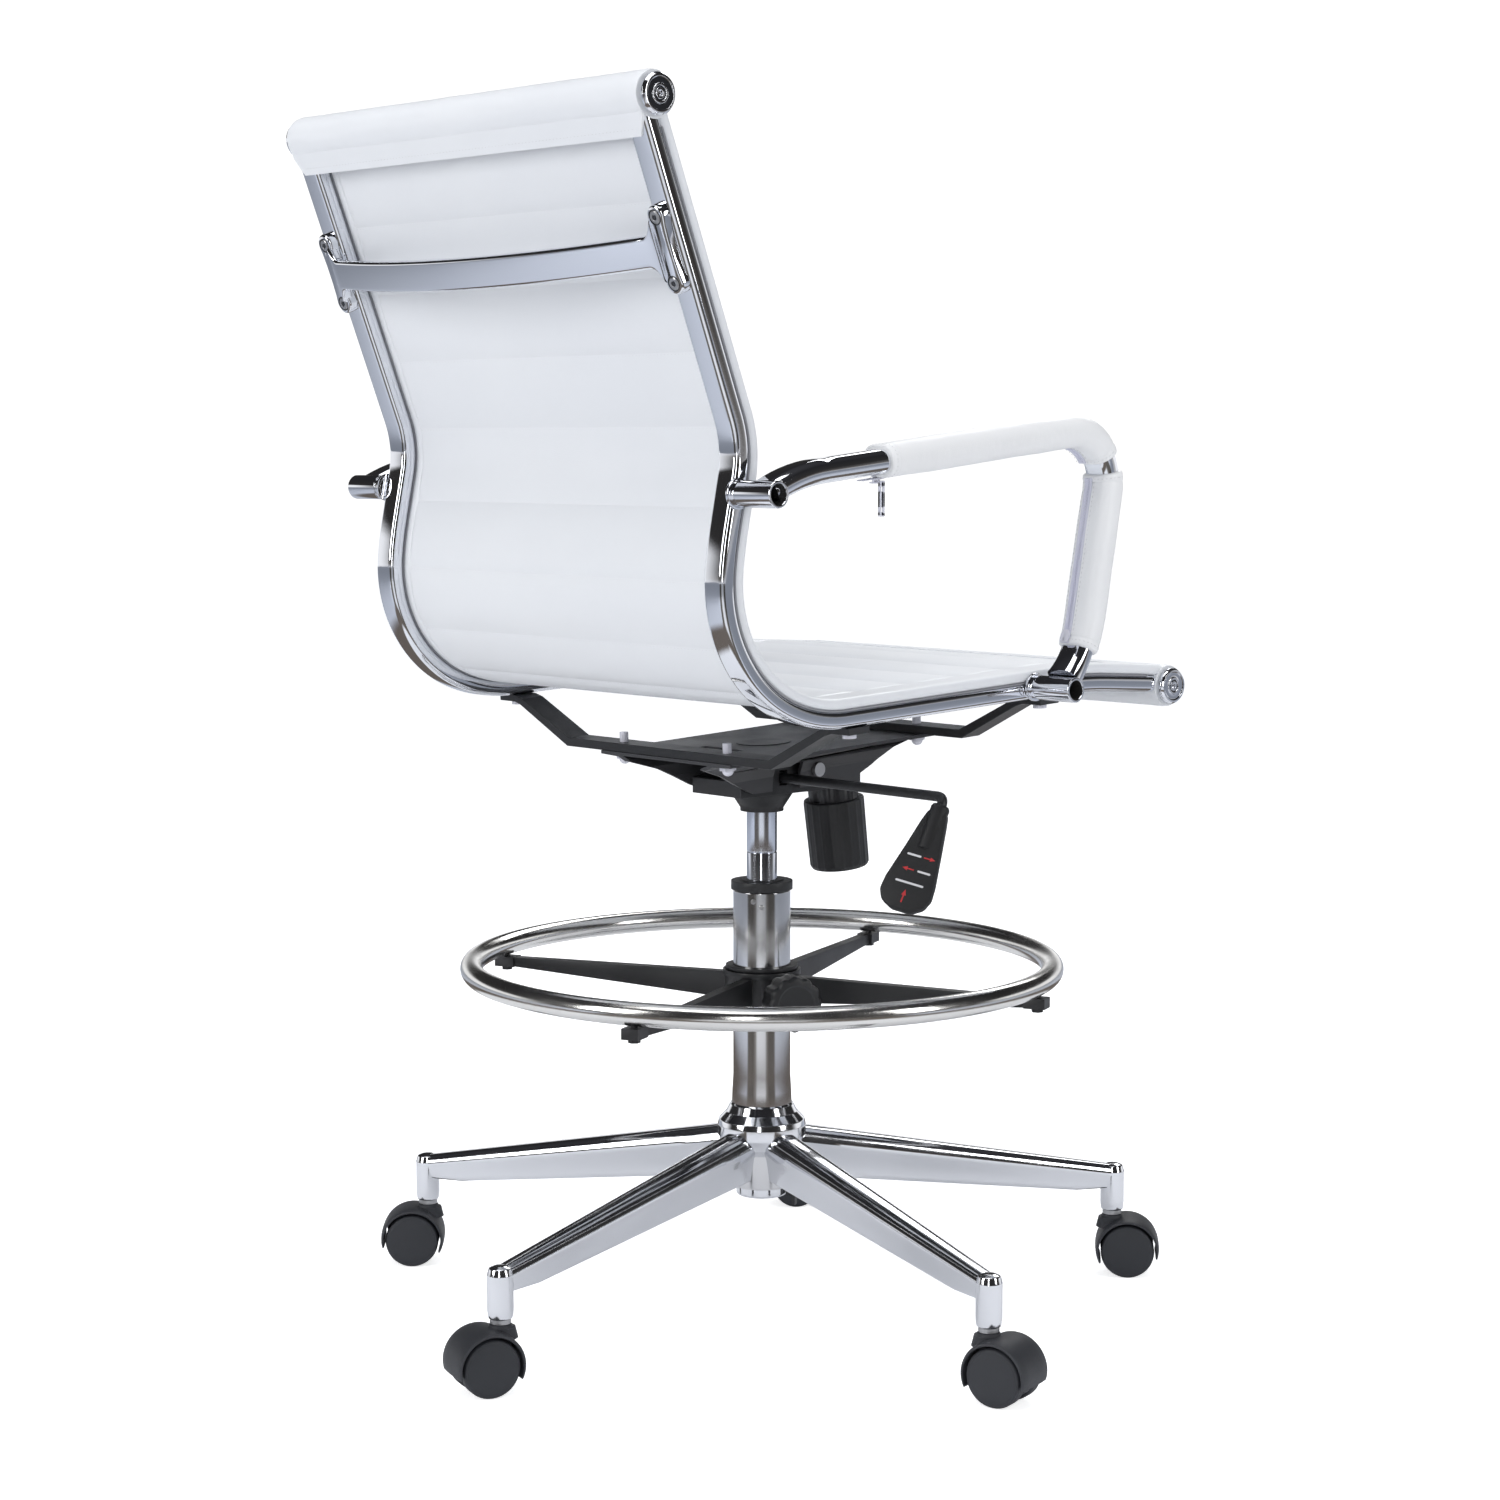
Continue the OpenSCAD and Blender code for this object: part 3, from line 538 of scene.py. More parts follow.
# ---------------------------------------------------------------- lines of the frame
class BentLine:
    """Straights [length] and bends [radius, turn] in the Y-Z plane, measured along their length."""

    def __init__(self, segments, start, heading):
        self.parts, self.length = [], 0.0
        y, z = start
        for part in segments:
            long = part[0] if len(part) == 1 else part[0] * math.radians(abs(part[1]))
            self.parts.append((self.length, long, y, z, heading, part))
            y, z, heading = self._along(y, z, heading, part, long)
            self.length += long

    @staticmethod
    def _along(y, z, heading, part, run):
        a = math.radians(heading)
        if len(part) == 1:
            return y + run * math.cos(a), z + run * math.sin(a), heading
        radius = math.copysign(part[0], part[1])
        b = a + run / radius
        return y + radius * (math.sin(b) - math.sin(a)), z - radius * (math.cos(b) - math.cos(a)), math.degrees(b)

    def at(self, run):
        """(y, z, heading in degrees) after that run."""
        for start, long, y, z, heading, part in self.parts:
            if run <= start + long or start == self.parts[-1][0]:
                return self._along(y, z, heading, part, run - start)

    def point(self, run, x, off):
        """A point beside the line: off is towards the sitter."""
        y, z, heading = self.at(run)
        a = math.radians(heading)
        return Vector((x, y - off * math.sin(a), z + off * math.cos(a)))

    def outward(self, run, sign=1):
        a = math.radians(self.at(run)[2])
        return Vector((0, -math.sin(a), math.cos(a))) * sign

    def runs(self, first, last, straight=14.0, bend=3.0):
        """Runs from first to last, closer where the line bends."""
        marks = {first, last}
        for start, long, *_rest, part in self.parts:
            step = straight if len(part) == 1 else max(1.2, min(straight, part[0] * math.radians(bend)))
            count = max(1, math.ceil(long / step))
            marks |= {start + long * k / count for k in range(count + 1)}
        return sorted(m for m in marks if first - 1e-9 <= m <= last + 1e-9)

    def swept(self, section, first=0.0, last=None, x=0.0, capped=True):
        last = self.length if last is None else last
        rings = [[self.point(run, x + qx, off) for qx, off in section] for run in self.runs(first, last)]
        return skinned(rings, capped)


RECLINE = 21.3
RAIL_X, RAIL_W, RAIL_T, PAD_T = 224.0, 24.0, 15.0, 11.0
RAIL = BentLine([[258.5], [86, -33], [43], [297, 6], [115, 73.5], [143, 25], [272], [500, -6.5], [80]],
                (-338.3, 1058.9), RECLINE - 90)
TOP, FRONT = (-331.3, 1063.3), (293.2, 574.1)  # centres of the two bars, (y, z)
ROLL_R = 19.5
CAP_FOOT = 234.8  # x where a cap's turned profile begins
STUBS = ((-246, 757), (109, 583))  # where the arms' stub tubes cross the rails, (y, z)


def along_x(y, z, sign=1, x=0.0):
    """Turns a shape drawn about Z so that its axis lies across the chair, on the side of sign."""
    return move(sign * x, y, z) @ rot(90 * sign, "Y")


def both_sides(shape, y, z, x):
    return joined(*(moved(shape, along_x(y, z, sign, x)) for sign in (-1, 1)))


BACK = SEAT @ move(0, -311.6, 990.3) @ rot(RECLINE, "X")  # lies in the upper back


# ---------------------------------------------------------------- rails, bars, caps and brace
def rails():
    section = rounded_bar(RAIL_W, RAIL_T, 4.6, 8)
    for side, sign in (("left", -1), ("right", 1)):
        piece(f"side_rail_{side}", RAIL.swept(section, x=sign * RAIL_X), CHROME, "seat", [f"rail_{side}"])
        # painted shade: a thin dark line in the groove where the pad meets the rail
        line = rounded_bar(RAIL_W - 1.4, 1.6, 0.5, 2, RAIL_T / 2 + 0.1)
        piece(f"rail_groove_shade_{side}", RAIL.swept(line, 24, RAIL.length - 22, x=sign * RAIL_X), SEAM_SHADE, "seat")


def caps():
    """Turned end caps: a bevelled rim, a dished bright face, a ring and a socket screw, with dark rings laid on the
    face; the top caps' wide one is painted reflection.
    """
    profile = filleted([
        (0, 4.0), (14.0, 4.0), (16.5, 4.0), (16.5, 6.6), (15.0, 8.8), (13.2, 8.9), (12.2, 8.1), (8.2, 8.1), (7.8, 8.9),
        (6.0, 8.9), (5.6, 8.0), (4.6, 8.0), (4.4, 8.7), (2.4, 8.7), (2.2, 6.6), (0, 6.6)], 0.45, 3)
    # painted reflection: the top caps' wide dark ring stands for the dark room mirrored in their faces; the thin dark
    # rings lie in grooves of the face
    for label, (y, z), ring_finish, bands in (
            ("top", TOP, PAINTED_DARK, ((8.5, 12.9), (4.7, 5.5))), ("front", FRONT, BLACK_PAINT, ((4.9, 5.4),))):
        piece(f"end_caps_{label}", both_sides(lathe(profile, 96), y, z, CAP_FOOT), CHROME, "seat",
              ["end_caps"], crisp=50)
        rings = joined(*(lathe([(a, 7.9), (b, 7.9), (b, 8.4), (a, 8.4), (a, 7.9)], 72) for a, b in bands))
        piece(f"cap_dark_rings_{label}", both_sides(rings, y, z, CAP_FOOT), ring_finish, "seat", crisp=50)
    dress(["top_bar", "front_bar"], CHROME)


BRACE_R, BRACE_Z, BRACE_REACH = 938.0, -41.5, 217  # the bow's radius, its height and half its length
EAR_R, EAR_GAP = 9.5, 27  # a screw ear's radius and how far each ear lies from the bar's middle


def ear_outline():
    """Two round pads joined by a waist."""
    out = []
    for side in (1, -1):
        for k in range(25):
            turn = math.pi * k / 24
            out.append((side * EAR_R * math.cos(turn), side * (EAR_GAP + EAR_R * math.sin(turn))))
        out += [(-side * x, side * z) for x, z in ((8.2, 20), (7.4, 8), (7.4, -8), (8.2, -20))]
    return out


def brace_heads(shape, x, y, heights):
    """Copies of a screw shape on both rails, seen from behind."""
    return joined(*(moved(shape, move(sign * x, y, z) @ rot(90, "X")) for sign in (-1, 1) for z in heights))


def brace():
    """The bowed flat bar behind the back, running out into round screw ears on each rail."""
    rings, count = [], 248
    for i in range(count + 1):
        x = -BRACE_REACH + 2 * BRACE_REACH * i / count
        slope = math.asin(x / BRACE_R)
        centre = Vector((x, -40.0 + BRACE_R - math.sqrt(BRACE_R ** 2 - x * x), BRACE_Z))
        back = Vector((-math.sin(slope), math.cos(slope), 0))
        # the bar flares into the ears over its last few millimetres
        section = rounded_bar(27 + 24 * max(0.0, (abs(x) - 207) / 10) ** 2.2, 9, 3.4, 6)
        rings.append([centre + back * deep + Vector((0, 0, high)) for high, deep in section])
    parts = [skinned(rings)]
    outline = ear_outline()
    for sign in (-1, 1):
        rings = []
        for inset, depth in ((0, 0), (0, 5.6), (0.5, 7.2), (1.6, 8.0)):
            narrow, short = 1 - inset / EAR_R, 1 - inset / (EAR_R + EAR_GAP)
            rings.append([Vector((sign * RAIL_X + x * narrow, -7.6 - depth, BRACE_Z + z * short)) for x, z in outline])
        parts.append(skinned(rings))
    piece("back_brace_bar", joined(*parts), CHROME, "seat", ["back_brace"], place=BACK, crisp=44)
    heights = (-14.6, -68.4)
    head = lathe(filleted([(0, 0), (5.6, 0), (5.6, 1.6), (4.6, 2.4), (2.5, 2.5), (2.3, 1.0), (0, 1.0)], 0.3, 2), 40)
    piece("brace_screws", brace_heads(head, RAIL_X, -13.9, heights), STEEL, "seat", ["frame_screws"],
          place=BACK, crisp=50)
    # painted shade: dark rings round the heads and dark discs in their sockets stand for the shadow in these recesses
    gap = joined(lathe([(5.6, 1.45), (6.5, 1.45), (6.5, 1.8), (5.6, 1.8), (5.6, 1.45)], 40),
                 lathe([(0, 1.95), (2.2, 1.95), (2.2, 2.25), (0, 2.25)], 6))
    piece("brace_screw_shade_rings", brace_heads(gap, RAIL_X, -14.1, heights), PAINTED_DARK, "seat", place=BACK, crisp=50)
    bolt = lathe(filleted([(0, 0), (7, 0), (7, 3.4), (6, 4.6), (3.2, 4.7), (3.0, 2.4), (0, 2.4)], 0.4, 2), 40)
    piece("arm_stub_bolts", joined(*(both_sides(bolt, y, z, 245.4) for y, z in STUBS)), STEEL, "seat",
          crisp=50)


# ---------------------------------------------------------------- pad
RIB_FIRST, RIB_PITCH = 81.0, 62.5
PANEL_X = 203.0  # the stitched panel ends here and a plain border runs beside each rail


def rib_height(run):
    """0 on a stitched line and 1 in the middle of a rib."""
    if run < RIB_FIRST - RIB_PITCH or run > RIB_FIRST + RIB_PITCH * 14:  # past the last stitched lines
        return 1.0
    part = ((run - RIB_FIRST) / RIB_PITCH) % 1.0
    return 1.0 - abs(2 * part - 1) ** 3.2


def pad_runs(first, last):
    marks = set(RAIL.runs(first, last, 9.0, 3.0))
    rib = RIB_FIRST
    while rib - RIB_PITCH > first:
        rib -= RIB_PITCH
    while rib < last:
        for part in (-0.2, -0.12, -0.07, -0.035, -0.015, -0.005, 0.0, 0.005, 0.015, 0.035, 0.07, 0.12, 0.2):
            marks.add(rib + part * RIB_PITCH)
        rib += RIB_PITCH
    out = []
    for mark in sorted(m for m in marks if first <= m <= last):
        if not out or mark - out[-1] > 0.25:
            out.append(mark)
    return out


def seat_pad():
    """The sling between the rolls: ribs sewn across a panel, with a plain border beside each rail."""
    half, first, last = RAIL_X + RAIL_W / 2, 6.0, RAIL.length - 4
    flat, edge = 232, 4.0  # the flat part's half width and how far the round edge stands out
    middle = RAIL_T / 2 + PAD_T / 2
    across = [0, 30, 60, 90, 120, 145, 165, 180, 190, 197, 200.5, 202, 203, 204, 205.5, 208, 212, 216, 222, 228, flat]
    across = [-x for x in across[:0:-1]] + across
    rings = []
    for run in pad_runs(first, last):
        height = rib_height(run)
        ring = []
        soft = noise.noise(Vector((run * 0.012, 3.1, 0))) * 0.5
        for x in across:
            panel = abs(x) < PANEL_X
            seam = math.exp(-((abs(x) - PANEL_X) / 1.1) ** 2)
            swell = 2.6 * height * (1 - 0.18 * (x / half) ** 2) if panel else 2.2
            wave = 0.35 * noise.noise(Vector((x * 0.014, run * 0.03, 7.7)))
            ring.append(RAIL.point(run, x, RAIL_T / 2 + PAD_T - 3.0 + swell + wave + soft * 0.4 - 1.5 * seam))
        for k in range(1, 8):  # the rounded outer edge
            turn = math.pi * k / 8
            ring.append(RAIL.point(run, flat + edge * math.sin(turn), middle + (PAD_T / 2 - 0.8) * math.cos(turn)))
        for x in across[::-1]:
            panel = abs(x) < PANEL_X
            seam = math.exp(-((abs(x) - PANEL_X) / 0.9) ** 2)
            swell = 2.3 * height * (1 - 0.2 * (x / half) ** 2) if panel else (1.1 if abs(x) < 211 else 0.0)
            ring.append(RAIL.point(run, x, RAIL_T / 2 + 0.5 - swell + 1.3 * seam))
        for k in range(1, 8):
            turn = math.pi * k / 8
            ring.append(RAIL.point(run, -flat - edge * math.sin(turn), middle - (PAD_T / 2 - 0.8) * math.cos(turn)))
        rings.append(ring)
    pad = piece("stitched_sling_pad", skinned(rings), HIDE_WHITE, "seat", ["seat_pad"], crisp=70)

    threads = []
    rib = RIB_FIRST
    xs = [-201 + 402 * k / 24 for k in range(25)]
    while rib < RAIL.length - 60:
        for off, sign in ((RAIL_T / 2 + 0.35, -1), (RAIL_T / 2 + PAD_T - 2.9, 1)):
            path = [RAIL.point(rib + 1.6, x, off) for x in xs]
            threads.append(stitched(path, [RAIL.outward(rib, sign)] * len(path), 3.0, 1.4, 0.34))
        rib += RIB_PITCH
    runs = RAIL.runs(30, RAIL.length - 30, 10, 3)
    for sign in (-1, 1):
        for off, way in ((RAIL_T / 2 - 0.3, -1), (RAIL_T / 2 + PAD_T - 1.0, 1)):
            path = [RAIL.point(run, sign * (PANEL_X + 2.6), off) for run in runs]
            threads.append(stitched(path, [RAIL.outward(run, way) for run in runs], 3.0, 1.4, 0.3))
    piece("sling_stitching", joined(*threads), THREAD, "seat", crisp=180)

    # painted shade: a dark line in the groove of each border seam on the back
    lines = []
    for sign in (-1, 1):
        section = [(sign * PANEL_X + q0, q1) for q0, q1 in rounded_bar(0.9, 0.5, 0.2, 1, RAIL_T / 2 + 1.0)]
        lines.append(RAIL.swept(section, 24, RAIL.length - 30))
    piece("border_seam_lines", joined(*lines), SEAM_SHADE, "seat")


def rolls():
    """Leatherette wrapped round the top and front bars, with a hem sewn to the back of the pad."""
    for label, (cy, cz), salt in (("top", TOP, 5), ("front", FRONT, 9)):
        rings = []
        for i in range(97):
            x = -236.5 + 473 * i / 96
            tuck = 1.0 if abs(x) < 234 else 0.965
            ring = []
            for a in turns(72):
                y, z = math.cos(a), math.sin(a)
                crease = 0.35 * noise.noise(Vector((x * 0.02, y * 1.7, z * 1.7 + salt)))
                crease += 0.15 * noise.noise(Vector((x * 0.11, y * 1.2, z * 1.2 + 20)))
                radius = (ROLL_R + crease) * tuck
                ring.append(Vector((x, cy + radius * y, cz + radius * z)))
            rings.append(ring)
        roll = piece(f"{label}_roll_cover", skinned(rings), HIDE_WHITE, "seat", crisp=60)
    # hems: the wrap's tail on the back of the pad, cut slanting at the rails
    parts, threads = [], []
    # the top tail hangs over the backs of the rails, the front one lies on the pad
    for begin, end, reach, lie, sunk, seam in (
            (2.0, 26.0, 236.0, -RAIL_T / 2 - 0.2, 0.9, 20.0),
            (RAIL.length - 4, RAIL.length - 40, 210.0, RAIL_T / 2 - 1.2, 1.8, RAIL.length - 36)):
        on_rails, rings = end > begin, []
        for k in range(13):
            t = k / 12
            run, thick = begin + (end - begin) * t, 1.9 * (1 - 0.25 * t ** 6)
            wide = reach - (13.0 * max(0.0, t - 0.35) if on_rails else 9.0 * t)
            xs = [-wide + 2 * wide * j / 80 for j in range(81)]
            row = [RAIL.point(run, x, lie - thick - 0.15 * noise.noise(Vector((x * 0.03, run * 0.1, 2)))) for x in xs]
            rings.append(row + [RAIL.point(run, x, lie + sunk) for x in xs[::-1]])
        parts.append(skinned(rings))
        path = [RAIL.point(seam, -reach + 16 + (2 * reach - 32) * k / 60, lie - 1.75) for k in range(61)]
        threads.append(stitched(path, [RAIL.outward(seam, -1)] * 61, 3.0, 1.4, 0.34))
    hem = piece("roll_hems", joined(*parts), HIDE_WHITE, "seat", crisp=60)
    piece("hem_stitching", joined(*threads), THREAD, "seat", crisp=180)


# ---------------------------------------------------------------- arms
ARM_X = 266.0
ARM = BentLine([[10], [160, -17.9], [301], [45, -107.4], [115.6], [94, -33.5]], (-243, 758), 24)
UPPER_START = 10 + 160 * math.radians(17.9) + 69
UPPER_END = UPPER_START + 232 + 45 * math.radians(66)
LOWER_START = UPPER_START + 232 + 45 * math.radians(84)
LOWER_END = LOWER_START + 45 * math.radians(23.4) + 115.6 + 94 * math.radians(15)
UPPER_ZIP, LOWER_ZIP = 6.9, 4.4  # how far each zip lies from the arm's middle, towards the chair


def arms():
    for side, sign in (("left", -1), ("right", 1)):
        parts = [ARM.swept(rounded_bar(30, 20, 9, 8), x=sign * ARM_X)]
        for y, z in STUBS:
            outer = filleted([(0, 236), (10, 236), (10, 244.3), (11, 244.5), (11, 284.6), (10.4, 285.3), (8.9, 285.3),
                              (8.5, 284.6), (8.5, 246), (0, 246)], 0.35, 3)
            parts.append(moved(lathe(outer, 64), along_x(y, z, sign)))
        # the flared neck of the front end on its stub
        neck = []
        for k in range(9):
            t = k / 8
            run = ARM.length - 26 + 26 * t
            grow = 1 + 0.10 * t * t
            neck.append([ARM.point(run, sign * ARM_X + qx * grow, off * grow) for qx, off in rounded_bar(30, 20, 9, 8)])
        parts.append(skinned(neck))
        piece(f"arm_tube_{side}", joined(*parts), CHROME, "seat", [f"arm_{side}"], crisp=46)
        # painted shade: the dark matt lining of each stub tube stands for the shadow in its open bore
        bore = lathe([(8.45, 284.4), (8.45, 248), (0, 248)], 48)
        collar = lathe(filleted([(9.5, 236.2), (12.6, 236.2), (12.6, 238.8), (9.5, 238.8)], 0.5, 2), 64)
        piece(f"stub_bores_{side}", joined(*(moved(bore, along_x(y, z, sign)) for y, z in STUBS)), BORE_SHADE, "seat")
        piece(f"stub_collars_{side}", joined(*(moved(collar, along_x(y, z, sign)) for y, z in STUBS)), CHROME, "seat",
              crisp=46)


def sleeve_ring(run, centre_x, puff, salt):
    """A sleeve's section there, swollen by puff and rippled."""
    out = []
    for qx, off in rounded_bar(37, 28, 12.5, 8):
        level = math.hypot(qx, off)
        ripple = 0.6 * noise.noise(Vector((run * 0.028, qx * 0.05, off * 0.05 + salt)))
        ripple += 0.25 * noise.noise(Vector((run * 0.09, qx * 0.08, salt + 4)))
        swell = 1 + (puff + ripple) / max(level, 1)
        out.append(ARM.point(run, centre_x + qx * swell, off * swell))
    return out


def sleeve_puff(edge):
    """A sleeve's swell at that distance from its nearer end: turned-in lip, hem, stitched groove, padding."""
    puff = -1.5 * math.exp(-edge / 0.7) + 0.15 * math.exp(-((edge - 5) / 3) ** 2)
    return puff - 0.55 * math.exp(-((edge - 8) / 0.8) ** 2) + 0.5 * min(1, edge / 30) - 0.4


def sleeves():
    """Zipped leatherette sleeves on each arm: an upper and a lower, with turned hems, seams and zips."""
    for side, sign in (("left", -1), ("right", 1)):
        shapes, threads, tapes, teeth = [], [], [], []
        x = sign * ARM_X
        for first, last, salt, zip_side, lead in (
                (UPPER_START, UPPER_END, 1.0, UPPER_ZIP, 15), (LOWER_START, LOWER_END, 6.0, LOWER_ZIP, -3)):
            salt += 11 if sign < 0 else 0
            near_ends = {run for d in (0.6, 1.5, 3, 7, 8, 9, 12) for run in (first + d, last - d)}
            shapes.append(skinned([sleeve_ring(run, x, sleeve_puff(min(run - first, last - run)), salt)
                                   for run in sorted(set(ARM.runs(first, last, 5.0, 4.0)) | near_ends)]))
            # hem stitches round each end
            for at_run in (first + 4.5, last - 4.5):
                ring = sleeve_ring(at_run, x, -0.15, salt)
                centre = ARM.point(at_run, x, 0)
                threads.append(stitched(ring + ring[:1], [p - centre for p in ring + ring[:1]], 2.6, 1.3, 0.32))
            # the long seam beside the zip, and the zip itself on the inner and under side
            runs = ARM.runs(first + 3, last - 3, 6.0, 4.0)
            zip_x = -sign * zip_side
            for qx, off in ((zip_x - sign * 6.2, -14.15), (zip_x + sign * 6.4, -14.35)):
                path = [ARM.point(run, x + qx, off) for run in runs]
                threads.append(stitched(path, [ARM.outward(run, -1) for run in runs], 2.8, 1.4, 0.32))
            # the upper zip's tape runs on past the sleeve's end
            for shift in (zip_x - 2.4, zip_x + 2.4):
                tapes.append(skinned([
                    [ARM.point(run, x + shift + qx, off - 14.15) for qx, off in rounded_bar(3.8, 0.9, 0.4, 2)]
                    for run in ARM.runs(first - lead, last - 3, 6.0, 4.0)]))
            run, flip = first + 5, 1
            while run < last - 4:
                where = move(*ARM.point(run, x + zip_x + flip * 0.55, -14.7)) @ rot(ARM.at(run)[2], "X")
                teeth.append(moved(block((-1.25, -0.42, -0.5), (1.25, 0.42, 0.5)), where))
                run, flip = run + 1.35, -flip
        sleeve = piece(f"arm_sleeves_pair_{side}", joined(*shapes), SLEEVE_WHITE, "seat", [f"arm_sleeves_{side}"],
                       crisp=62)
        piece(f"sleeve_stitching_{side}", joined(*threads), THREAD, "seat", crisp=180)
        piece(f"zip_tapes_{side}", joined(*tapes), ZIP_TAPE, "seat", crisp=60)
        piece(f"zip_teeth_{side}", joined(*teeth), ZIP_TEETH, "seat", crisp=20)
        # sliders: one at the rear end of the upper zip, one at the foot of the lower
        outline = filleted([(-4.6, -5), (4.6, -5), (4.9, 2), (3.0, 6.5), (-3.0, 6.5), (-4.9, 2)], 1.2, 3, True)
        slider = joined(prism(outline, 1.1), prism(outline, 1.1, -2.9), block((-1.1, -4.4, -2.9), (1.1, 2.5, 1.1)))
        for label, run, zip_side, flip in (
                ("upper", UPPER_START + 4, UPPER_ZIP, 0), ("lower", LOWER_END - 6, LOWER_ZIP, 180)):
            where = move(*ARM.point(run, x - sign * zip_side, -15.3)) @ rot(ARM.at(run)[2] + flip, "X")
            piece(f"zip_slider_{label}_{side}", moved(slider, where), ZINC, "seat", crisp=40, bevel=0.25)


def zip_pull(side, sign):
    """A slotted tag that hangs from the upper slider: three cross bars between two walls leave two windows."""
    half, parts = 3.3, []
    for low, high in ((-30, -26.4), (-22.5, -9.4), (-5.6, -1)):
        bar = filleted([(-half, low), (half, low), (half, high), (-half, high)], 0.8, 3, True)
        parts.append(prism(bar, 1.5, -0.75))
    for edge in (-1, 1):
        wall = [(edge * half, -29.2), (edge * 1.1, -29.2), (edge * 1.1, -1.8), (edge * half, -1.8)][::edge]
        parts.append(prism(wall, 1.5, -0.75))
    stand = move(sign * ARM_X, -113, 767.2) @ rot(90, "X")
    piece(f"zip_tag_{side}", moved(joined(*parts), stand), ZINC, f"zip_{side}", [f"zip_pull_{side}"],
          crisp=40, bevel=0.3)


rails()
caps()
brace()
seat_pad()
rolls()
arms()
sleeves()
zip_pull("left", -1)
zip_pull("right", 1)


# ---------------------------------------------------------------- column, base and castors
LEG_R, LEG_A = 349.5, [26.1 + 72 * k for k in range(5)]
TRAIL = (50, 73.5, 193.5, 221.5, 240)


def star_base():
    """A polished five-legged casting: rounded ridge on top, flat sides, a square-shouldered end."""
    hub = filleted([
        (5, 101.6), (12, 101.6), (12, 101), (22.6, 101), (23.8, 103), (23.8, 114.5), (22.4, 117.5), (20.8, 122),
        (20.8, 130), (23.5, 137), (31.5, 145.5), (38.5, 153), (41, 158), (41, 168), (39.8, 173), (33, 180),
        (29.5, 187), (28.2, 188.5)], 2.2, 4)
    socket = filleted([(0, 63), (9.6, 63), (10.6, 63.8), (11.3, 70), (11.3, 100.5), (9.6, 106.3), (5.0, 108.0),
                       (0, 108.3)], 1.4, 4)
    leg_start = 22  # inside the hub
    parts = [lathe(hub, 96)]
    for angle in LEG_A:
        rings = []
        for i in range(25):
            t = i / 24
            out = leg_start + (LEG_R + 1 - leg_start) * t
            axis = 152 - 0.1655 * (out - 20)
            top_r = 17.5 - 7.0 * t
            low = 119 - 33.5 * min(1.0, (out - leg_start) / (LEG_R - leg_start - 40))
            half, foot = 16.2 - 6.4 * t, 9.2 - 1.0 * t
            ring = []
            for k in range(17):
                turn = math.radians(6 + 168 * k / 16)
                flat = 1 - 0.10 * max(0, math.sin(turn)) ** 8  # the ridge's top is pressed a little flat
                ring.append((out, top_r * math.cos(turn), axis + top_r * math.sin(turn) * flat))
            waist = axis - 5.0 - (axis - low) * 0.18
            side = [(half, axis - 1.0), (half * 0.95, axis - 4.5), (0.35 * half + 0.65 * foot, waist),
                    (foot, low + 4), (foot * 0.97, low + 1.2), (foot * 0.86, low)]
            ring += [(out, -y, z) for y, z in side] + [(out, y, z) for y, z in side[::-1]]
            rings.append([Vector(p) for p in ring])
        parts.append(moved(skinned(rings), rot(angle, "Z")))
        parts.append(moved(lathe(socket, 56), rot(angle, "Z") @ move(LEG_R, 0, 0)))
    # a small clip that hangs beside the hub
    clip = prism(filleted([(-5, 0), (4, 0), (4, 14), (0.5, 14), (0.5, 5), (-5, 5)], 1.0, 3, True), 6, -3)
    clip = moved(clip, rot(206, "Z") @ move(30, 0, 107) @ rot(-90, "X"))
    piece("under_clip", clip, BLACK_PLASTIC, "base", place=MM, crisp=34)
    piece("polished_star_base", joined(*parts), CAST_CHROME, "base", ["star_base"], place=MM, crisp=34)
    dress(["castor_stems"], STEEL)


def column():
    """The outer tube with its two screws, and the bright piston in it."""
    tube_line = filleted([(26.9, 110), (28, 111), (28, 186), (27.4, 200), (26.5, 215), (26.5, 386.6), (25.6, 388),
                          (22.5, 388)], 0.8, 3)
    piece("column_sleeve_tube", lathe(tube_line, 96), COLUMN_CHROME, "base", ["column_tube"], place=MM,
          crisp=40)
    head = lathe(filleted([(0, 0), (2.4, 0), (2.4, 0.7), (1.6, 1.1), (0, 1.15)], 0.2, 2), 24)
    screws = [moved(head, rot(angle, "Z") @ move(26.4, 0, height) @ rot(90, "Y"))
              for angle, height in ((120.0, 379.5), (137.0, 374.5))]
    piece("column_screws", joined(*screws), STEEL, "base", place=MM, crisp=50)
    dress(["column_collar"], BLACK_PLASTIC, 0.5)
    piston = filleted([(5.2, 184), (13, 184), (14, 185), (14, 422.3), (13.5, 422.6), (13.5, 423.5), (14, 423.8),
                       (14, 485), (13.2, 486), (3.6, 486)], 0.3, 2)
    piece("gas_piston_tube", lathe(piston, 80), PISTON_CHROME, "lift", ["gas_cylinder"], place=MM,
          crisp=40)
    dress(["gas_rod", "rod_clip", "release_pin"], STEEL)


WHEEL_AXLE = Vector((15, 0, 25.5))  # from the swivel pin, with the wheels trailing along +X
HOOD_IN, HOOD_STEPS = 27.4, 40


